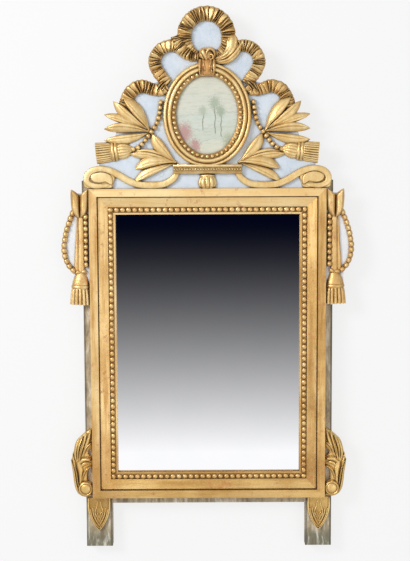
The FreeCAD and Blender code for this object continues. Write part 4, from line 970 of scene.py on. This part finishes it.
# Each lobe of a corner scroll: stops from the corner of the mouldings, widths, heights above
# the stile, how round it is, and the depth of its vein.
CORNER_LOBES = [
    # the upper leaf: its outer flute, two inner ones, the one that ends in the tip, the rib
    ([(38, 86), (38.5, 98), (36.5, 111), (33, 123), (28, 132)],
     [(0, 8), (0.4, 9), (0.8, 8.5), (1, 3)], [(0, 13), (0.5, 14), (1, 11)], 0.45, 0),
    ([(33, 90), (32, 107), (28, 123), (21, 138.5)], [(0, 7), (0.5, 9), (0.85, 8), (1, 3)],
     [(0, 13), (0.5, 15), (1, 12)], 0.45, 0.8),
    ([(27, 92), (24, 109), (19, 125), (13, 146)], [(0, 7), (0.5, 9.5), (0.85, 8), (1, 3)],
     [(0, 13), (0.5, 14.5), (1, 12)], 0.45, 0),
    ([(22, 94), (15.5, 112), (8.5, 132), (3, 153)], [(0, 7), (0.5, 11), (0.85, 8), (1, 3)],
     [(0, 14), (0.5, 15.5), (1, 13)], 0.45, 0),
    ([(21, 98), (15, 111), (9, 118.5), (3, 123)], [(0, 6), (0.5, 7), (0.85, 6), (1, 3)],
     [(0, 15), (0.5, 18), (1, 15)], 0.5, 0),
    ([(29, 84), (27.5, 100), (24.5, 116), (19.5, 134)], [(0, 7), (0.5, 4.5), (1, 2)],
     [(0, 15), (0.5, 17.5), (1, 14)], 0.55, 0),
    # the lower leaf: a ball, the turned-over edge under it, a leaf in its shade, the outer band
    ([(31, 76), (22, 84.5), (12, 86.5), (3.5, 85.5)], [(0, 10), (0.4, 13), (0.8, 11), (1, 7)],
     [(0, 14), (0.5, 17.5), (0.9, 18), (1, 14)], 0.5, 0),
    ([(28, 34), (26, 50), (18, 60), (8, 65)], [(0, 8), (0.4, 13), (0.8, 10), (1, 4)],
     [(0, 11), (0.5, 12.5), (1, 9)], 0.35, 1.0),
    ([(26, 69), (20, 75.5), (13, 77.5), (5, 76.5)], [(0, 9), (0.5, 13), (1, 7)],
     [(0, 13), (0.5, 14.5), (1, 10)], 0.5, 0),
    ([(29, 28), (27, 46), (27.5, 62), (32, 80)], [(0, 8), (0.4, 13), (0.8, 16), (1, 10)],
     [(0, 13), (0.5, 15), (1, 14)], 0.4, 0),
    ([(24, 36), (21, 50), (16, 61), (9, 67), (3, 69.5)], [(0, 4), (0.4, 6), (0.8, 6), (1, 3)],
     [(0, 13), (0.4, 17.5), (0.8, 18), (1, 14)], 0.5, 0),
    ([(23, 5), (31, 9.5), (36.5, 21), (39, 36), (41, 54), (44, 70), (48, 84)],
     [(0, 6), (0.25, 7.5), (0.6, 7.5), (0.85, 6), (1, 2)], [(0, 12), (0.5, 13.5), (1, 11)], 0.35,
     0),
    ([(30, 21), (33.5, 34), (35.5, 50), (38.5, 66), (45, 82)], [(0, 3.5), (0.5, 4), (1, 2)],
     [(0, 16), (0.5, 18.5), (1, 14)], 0.5, 0),
    ([(4, 4.5), (15, 2.6), (26, 6), (34, 16), (38, 30)], [(0, 5), (0.5, 7), (1, 5)],
     [(0, 10), (0.5, 12), (1, 11)], 0.35, 0),
    ([(44, 98), (43, 88), (41, 78), (39, 64)], [(0, 3), (0.4, 8), (1, 6)],
     [(0, 11), (0.5, 15), (1, 13)], 0.5, 0)]
# The body behind the lobes: rise, and where it is widest in and out, from the mouldings' corner.
CORNER_BODY = [(5, 12, 26), (10, 12, 32), (20, 12.5, 37.5), (30, 13, 40), (40, 14, 41.5),
               (50, 14, 42.5), (58, 12, 43.5), (66, 6, 45), (74, 2, 46.5), (82, 1, 48), (88, 1, 46.5),
               (93, 8, 45.5), (98, 11, 44), (104, 11, 41), (108, 6, 40), (114, 2, 39.5),
               (124, 1, 37), (131, 1, 31.5), (139, 1, 23), (147, 1, 14), (153, 1, 5)]
CORNER_BASE = -13.6             # the scrolls reach this far behind the stile's face, at its edge
# The roll at the foot of a corner scroll: its middle, its radius, and insets with heights.
ROLL = (16.2, 19.6)
ROLL_RADIUS = 16.6
ROLL_PROFILE = [(0, CORNER_BASE), (0, 11), (0.5, 14.5), (1.6, 17), (3.2, 17.8), (4.6, 17),
                (5.2, 15.6), (6, 16.2), (8, 17.4), (12, 18), (16.5, 18.2)]


def make_corners():
    """Acanthus scrolls that stand beside the mouldings and roll up in a round eye at the foot."""
    x, z = corner(*ROLL)
    for side, name in SIDES:
        form = Form(side)
        petal(form, corner, CORNER_BODY, [(0, 9), (0.5, 10.5), (0.8, 10), (1, 8)], STILE_FACE,
              base=CORNER_BASE, edge=0.3)
        for stops, widths, heights, crown, vein in CORNER_LOBES:
            lobe(form, [corner(*stop) for stop in stops], widths, heights, STILE_FACE,
                 CORNER_BASE, crown, vein)
        form.loft([[(x + (ROLL_RADIUS - inset) * math.cos(angle), -(STILE_FACE + height),
                     z + (ROLL_RADIUS - inset) * math.sin(angle)) for angle in turns(72)]
                   for inset, height in ROLL_PROFILE])
        piece(f"corner_{name}", form, "corner", f"{name}_corner_scroll")


FOOT_LEAF_X = 245.5             # middle and top of the leaf on the right foot, and its size
FOOT_LEAF_TOP = -346
FOOT_LEAF_HALF = 24
FOOT_LEAF_LENGTH = 74
# Raised veins of a foot leaf: stops as shares of its half width and of its length, and a width.
FOOT_VEINS = [
    ([(0.96, 0.02), (0.97, 0.28), (0.86, 0.50), (0.58, 0.73), (0.28, 0.90), (0.04, 0.985)], 4.2),
    ([(0.84, 0.34), (0.66, 0.58), (0.36, 0.80), (0.03, 0.93)], 3.4),
    ([(0.60, 0.30), (0.48, 0.54), (0.26, 0.70), (0.03, 0.82)], 3.2),
    ([(0.12, 0.10), (0.22, 0.28), (0.37, 0.42), (0.22, 0.58), (0.03, 0.69)], 3.4),
    ([(0.37, 0.42), (0.36, 0.56), (0.26, 0.70)], 2.6),
    ([(0.24, 0.44), (0.12, 0.50), (0.02, 0.53)], 2.6)]


def on_foot_leaf(across, down):
    return (FOOT_LEAF_X + across * FOOT_LEAF_HALF, FOOT_LEAF_TOP - down * FOOT_LEAF_LENGTH)


def make_foot_leaves():
    """A pointed leaf on each foot: brown-gold ground with light veins that meet down its middle."""
    for side, name in SIDES:
        form = Form(side)
        lobe(form, [on_foot_leaf(0, down) for down in (0, 0.3, 0.65, 1)],
             [(0, 50), (0.3, 50), (0.5, 46), (0.72, 31), (0.9, 13), (1, 3)],
             [(0, 4.6), (0.5, 5), (1, 3)], STILE_FACE, look=1)
        for stops, width in FOOT_VEINS:
            for hand in (-1, 1):
                lobe(form, [on_foot_leaf(hand * u, v) for u, v in stops],
                     [(0, 0.8 * width), (0.4, width), (1, 0.6 * width)],
                     [(0, 6.6), (0.5, 7.8), (1, 6.6)], STILE_FACE)
        piece(f"foot_leaf_{name}", form, "low ground", f"{name}_foot_leaf")


# ---- pearls of the frame
PEARL_PITCH = 13.2
# The bed of a row: distances out from the sight edge, and heights.
PEARL_BED = [(4.2, 5), (4.2, 7), (5.2, 7.6), (14.8, 7.6), (15.8, 7), (15.8, 5)]


def make_pearl_rows():
    """Mitred rows of pearls beside the sight edge, in their own narrow bed."""
    for name, half, away, turn in (("top", SIGHT_X, SIGHT_Z, 0), ("right", SIGHT_Z, SIGHT_X, 90),
                                   ("bottom", SIGHT_X, SIGHT_Z, 180),
                                   ("left", SIGHT_Z, SIGHT_X, 270)):
        spin = Matrix.Rotation(-math.radians(turn), 2)
        form = Form()
        rings = []
        for end in (-1, 1):
            bed = [(spin @ Vector((end * (half + across), away + across)), height)
                   for across, height in PEARL_BED]
            rings.append([(spot.x, -(STILE_FACE + height), spot.y) for spot, height in bed])
        form.loft(rings, look=1)
        rng = Random(turn)
        count = round(2 * (half + 10) / PEARL_PITCH)
        pitch = 2 * (half + 10) / count
        for i in range(count):
            spot = spin @ Vector(((i - count / 2) * pitch, away + 10))
            form.dome(spot, rng.uniform(5.9, 6.3), rng.uniform(4.6, 5.2), STILE_FACE + 7.4,
                      rng.uniform(0.82, 0.88), -math.radians(turn), belly=0.3)
        # The top row's bed is gilt darker still: painted shade under the top moulding.
        piece(f"pearls_{name}", form, "warm bed_dark" if name == "top" else "warm bed",
              f"bead_row_{name}")


make_bow()
make_knot()
make_medallion()
make_laurel()
make_strings()
make_crest_tassels()
make_bud()
make_plinth()
make_scrolls()
make_pendants()
make_corners()
make_foot_leaves()
make_pearl_rows()


# ---- looks of the construction model
# The painted hills: height, swell, scale of the ridge, tint, and how thick the paint is.
HILLS = [(0.500, 0.020, 16, (204, 212, 202), 0.7), (0.474, 0.024, 24, (200, 208, 192), 0.7),
         (0.442, 0.014, 12, (218, 216, 198), 0.75)]
TREES = [(0.016, 0.462, 0.524), (0.029, 0.456, 0.506), (-0.009, 0.470, 0.508)]    # x, foot and top
# Shrubs and crowns: middle, size and tint.
SHRUBS = [(-0.050, 0.462, 0.018, (182, 126, 124)), (-0.026, 0.434, 0.012, (178, 122, 122)),
          (0.046, 0.446, 0.013, (166, 174, 146)), (0.016, 0.526, 0.012, (158, 172, 150)),
          (0.029, 0.508, 0.010, (150, 164, 140)), (-0.009, 0.510, 0.009, (172, 182, 160))]


def painted_panel():
    """A soft imaginary landscape in thin paint: a pale sky, faint hills, a meadow with slender
    trees, and a few shrubs, rosy on the left."""
    look = Look("painted_panel", roughness=0.5)
    place = look.apart(look.place)
    x, z = place["X"], place["Z"]
    wash = look.noise(30, 6, 0.7, 0.4, look.stretched((0.6, 1, 1.3), (0, 0.3, 0)))
    dabs = look.noise(170, 6, 0.7, 0.3, look.stretched((0.45, 1, 1.0)))
    look.colour = look.ramp(look.range(z, 0.42, 0.585), [
        (0.0, (206, 208, 192)), (0.45, (202, 210, 198)), (0.85, (206, 208, 192))])
    look.coat(look.range(wash, 0.4, 0.64, 0, 0.6), (222, 218, 204))
    for base, swell, scale, tint, share in HILLS:
        ridge = look.range(look.noise(scale, 6, 0.6, place=look.stretched((1, 1, 0.02))),
                           0.25, 0.75, base - swell, base + swell)
        under = look.math("SUBTRACT", ridge, z)
        look.coat(look.times(look.range(under, -0.002, 0.006),
                             look.range(dabs, 0.3, 0.6, 0.3, share)), tint)
        pen = look.range(look.math("ABSOLUTE", under), 0.0009, 0.0, 0, 0.8)
        look.coat(look.times(pen, look.range(wash, 0.4, 0.6)), (118, 124, 112))
    foliage = look.noise(330, 5, 0.75)
    for middle, low, high in TREES:
        sway = look.range(wash, 0.3, 0.7, -0.003, 0.003)
        tall = look.times(look.range(z, low - 0.004, low), look.range(z, high, high - 0.012))
        stem = look.range(look.away(look.plus(x, sway), middle), 0.0016, 0.0005, 0, 0.8)
        look.coat(look.times(stem, tall), (120, 118, 98))
    for across, up, size, tint in SHRUBS:
        dx = look.math("DIVIDE", look.math("SUBTRACT", x, across), size)
        dz = look.math("DIVIDE", look.math("SUBTRACT", z, up), size * 1.3)
        far = look.math("SQRT", look.plus(look.times(dx, dx), look.times(dz, dz)))
        ragged = look.plus(far, look.range(foliage, 0.2, 0.8, -0.9, 0.9))
        look.coat(look.range(ragged, 1.2, 0.5, 0, 0.8), tint)
    grain = look.noise(300, 4, 0.7, place=look.stretched((0.15, 1, 1)))
    look.coat(look.range(grain, 0.48, 0.8, 0, 0.5), (158, 162, 146))
    look.coat(look.range(dabs, 0.6, 0.75, 0, 0.5), (232, 226, 212))
    # Darker where the ring stands over the panel's edge: painted shade.
    look.coat(look.range(look.open_air(9), 0.9, 0.35, 0, 0.85), (104, 86, 58))
    look.paint(0.5)
    look.bump(grain, 0.2, 0.2)
    look.bump(dabs, 0.2, 0.3)
    return look.material


def mirror_glass():
    """Old flat plate: bright, faintly clouded, with a few pin-point specks."""
    look = Look("mirror_glass", metallic=1.0, roughness=0.0)
    look.colour = (0.985, 0.985, 0.99, 1)
    look.coat(look.range(look.noise(11, 5, 0.6), 0.42, 0.7, 0, 0.8), (0.955, 0.965, 0.97, 1))
    speck = look.times(look.range(look.noise(260, 3, 0.7), 0.72, 0.78),
                       look.range(look.noise(17, 3), 0.5, 0.7))
    look.coat(look.times(speck, 0.35), (0.3, 0.3, 0.3, 1))
    look.paint()
    return look.material


def amalgam():
    look = Look("tin_amalgam", metallic=0.9, roughness=0.5)
    spots = look.range(look.noise(60, 6, 0.7), 0.5, 0.7)
    look.colour = look.mix(spots, (168, 170, 174), (110, 108, 106))
    look.paint(look.range(spots, 0, 1, 0.4, 0.65))
    look.bump(look.noise(200, 4), 0.2, 0.2)
    return look.material


def iron():
    """Forged iron: dark scale with patches of old rust."""
    look = Look("forged_iron", metallic=0.8, roughness=0.55)
    rust = look.range(look.noise(120, 7, 0.7), 0.48, 0.62)
    look.colour = look.mix(rust, (74, 70, 66), (112, 68, 42))
    look.paint(look.range(rust, 0, 1, 0.42, 0.85), look.range(rust, 0, 1, 0.85, 0.1))
    look.bump(look.noise(260, 6, 0.7), 0.5, 0.4)
    return look.material


def dress(look, *nodes):
    for node in nodes:
        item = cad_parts[node]
        if not item.material_slots:
            item.data.materials.append(look)
        for slot in item.material_slots:
            slot.link = "OBJECT"
            slot.material = look


# Each moulding takes its own lighter or darker copy of the gilding: painted light and shade.
for edge in ("left", "right", "top", "bottom"):
    dress(GILT[edge], "moulding_" + edge)
dress(old_paint("crest_paint", (216, 225, 236), (196, 210, 224), (112, 92, 66)), "crest_board")
dress(old_paint("pendant_paint", (238, 240, 243), (222, 226, 232), (128, 104, 76)),
      "left_pendant_board", "right_pendant_board")
dress(old_paint("carcass_paint", (194, 178, 146), (164, 148, 118), (84, 66, 46),
                wear=(136, 112, 84), shade_and_grime=0.45), "left_stile", "right_stile", "bottom_rail")
dress(painted_panel(), "medallion_panel")
dress(mirror_glass(), "mirror_glass")
dress(amalgam(), "silvering")
dress(pine("pine_upright", (1, 1, 0.06)), "left_crest_batten", "right_crest_batten", "glass_blocks",
      "backboard_left", "backboard_centre", "backboard_right")
dress(pine("pine_level", (0.06, 1, 1)), "top_rail")
dress(pine("pine_pegs", (1, 0.06, 1)), "joint_pegs")
dress(iron(), "backboard_nails", "batten_screws", "hanging_ring", "hanging_staple")


# ---- camera, light and room
CAMERA_SPOT = (-6.26, -2600, 402.5)
CAMERA_TIP, CAMERA_ROLL = 5.81, -0.26
CAMERA_LENS, CAMERA_SENSOR = 75.57, 36
MIDDLE = (0, 0, 0.1)            # what the lamps are aimed at, in metres
# How steeply down a mirrored ray goes where the room it meets is black, and where it is white.
MIRROR_DARK = -0.047
MIRROR_WHITE = -0.2435


def make_camera():
    """The photograph's view: level with the crest's foot, 2.6 m away, tipped down."""
    camera = bpy.data.objects.new("camera", bpy.data.cameras.new("camera"))
    bpy.context.scene.collection.objects.link(camera)
    camera.data.sensor_width = CAMERA_SENSOR
    camera.data.lens = CAMERA_LENS
    tip, roll = math.radians(CAMERA_TIP), math.radians(CAMERA_ROLL)
    turn = Matrix.Rotation(math.pi / 2 - tip, 4, "X") @ Matrix.Rotation(roll, 4, "Z")
    camera.matrix_world = Matrix.Translation(Vector(CAMERA_SPOT) * MM) @ turn
    camera.data.clip_end = 100
    bpy.context.scene.camera = camera


def make_lamp(name, spot, size, power):
    lamp = bpy.data.lights.new(name, "AREA")
    lamp.shape = "DISK"
    lamp.size = size
    lamp.energy = power
    item = bpy.data.objects.new(name, lamp)
    item.location = spot
    item.rotation_euler = (Vector(MIDDLE) - Vector(spot)).to_track_quat("-Z", "Y").to_euler()
    bpy.context.scene.collection.objects.link(item)


def grey(level):
    return (level, level, level, 1)


def make_world():
    """A plain studio: pale to the camera, bright before and behind the object and softer beside,
    over and under it. What a plane mirror shows of it runs from a dark far end down to a bright
    floor."""
    world = bpy.data.worlds.new("studio")
    bpy.context.scene.world = world
    world.use_nodes = True
    nodes = Nodes(world.node_tree)
    way = nodes.apart(nodes.add("ShaderNodeTexCoord").outputs["Generated"])
    studio = nodes.ramp(nodes.math("ABSOLUTE", way["Y"]), [
        (0.0, grey(0.32)), (0.35, grey(0.48)), (0.75, grey(0.76)), (1.0, grey(0.86))])
    # a plane mirror's picture runs evenly, as the eye sees it, from dark to white
    shade = nodes.math("POWER", nodes.range(way["Z"], MIRROR_DARK, MIRROR_WHITE), 2.25)
    above = nodes.range(way["Z"], 0.1, 0.9, 0, 0.5)
    reflected = nodes.mix(nodes.math("MAXIMUM", shade, above),
                          (0.001, 0.0018, 0.0085, 1), (0.985, 0.985, 1.0, 1))
    paths = nodes.add("ShaderNodeLightPath").outputs
    light = nodes.mix(paths["Is Singular Ray"], studio, reflected)
    light = nodes.mix(paths["Is Camera Ray"], light, grey(0.94))
    nodes.feed(nodes.tree.nodes["Background"].inputs["Color"], light)


def backdrop(name, corners):
    """A plane that the camera sees from the front and that hides nothing else."""
    look = bpy.data.materials.new(name)
    look.use_nodes = True
    nodes = Nodes(look.node_tree)
    nodes.tree.nodes.remove(nodes.tree.nodes["Principled BSDF"])
    matt = nodes.add("ShaderNodeBsdfDiffuse", {"Color": grey(0.19)}).outputs[0]
    glow = nodes.add("ShaderNodeEmission", {"Strength": 0.745}).outputs[0]
    both = nodes.add("ShaderNodeAddShader", {0: matt, 1: glow}).outputs[0]
    clear = nodes.add("ShaderNodeBsdfTransparent").outputs[0]
    seen = nodes.add("ShaderNodeLightPath").outputs["Is Camera Ray"]
    behind = nodes.add("ShaderNodeNewGeometry").outputs["Backfacing"]
    shown = nodes.add("ShaderNodeMath", {0: seen, 1: behind}, operation="SUBTRACT", use_clamp=True)
    choice = nodes.add("ShaderNodeMixShader", {0: shown.outputs[0], 1: clear, 2: both})
    nodes.feed(nodes.tree.nodes["Material Output"].inputs["Surface"], choice.outputs[0])
    mesh = bpy.data.meshes.new(name)
    mesh.from_pydata(corners, [], [(0, 1, 2, 3)])
    mesh.materials.append(look)
    item = bpy.data.objects.new(name, mesh)
    bpy.context.scene.collection.objects.link(item)
    return item


def make_room():
    """A pale floor below the feet, and a pale wall close behind."""
    level = FOOT_Z * MM - 0.35
    floor = backdrop("floor", [(-4, -4, level), (4, -4, level), (4, 4, level), (-4, 4, level)])
    wall = backdrop("wall", [(-4, 0.006, -0.81), (4, 0.006, -0.81), (4, 0.006, 3), (-4, 0.006, 3)])


make_camera()
make_world()
make_room()
make_lamp("key", (-1.9, -2.1, 1.3), 1.0, 42)
make_lamp("fill", (1.5, -2.4, -0.6), 1.6, 6)
bpy.context.scene.view_settings.view_transform = "Standard"
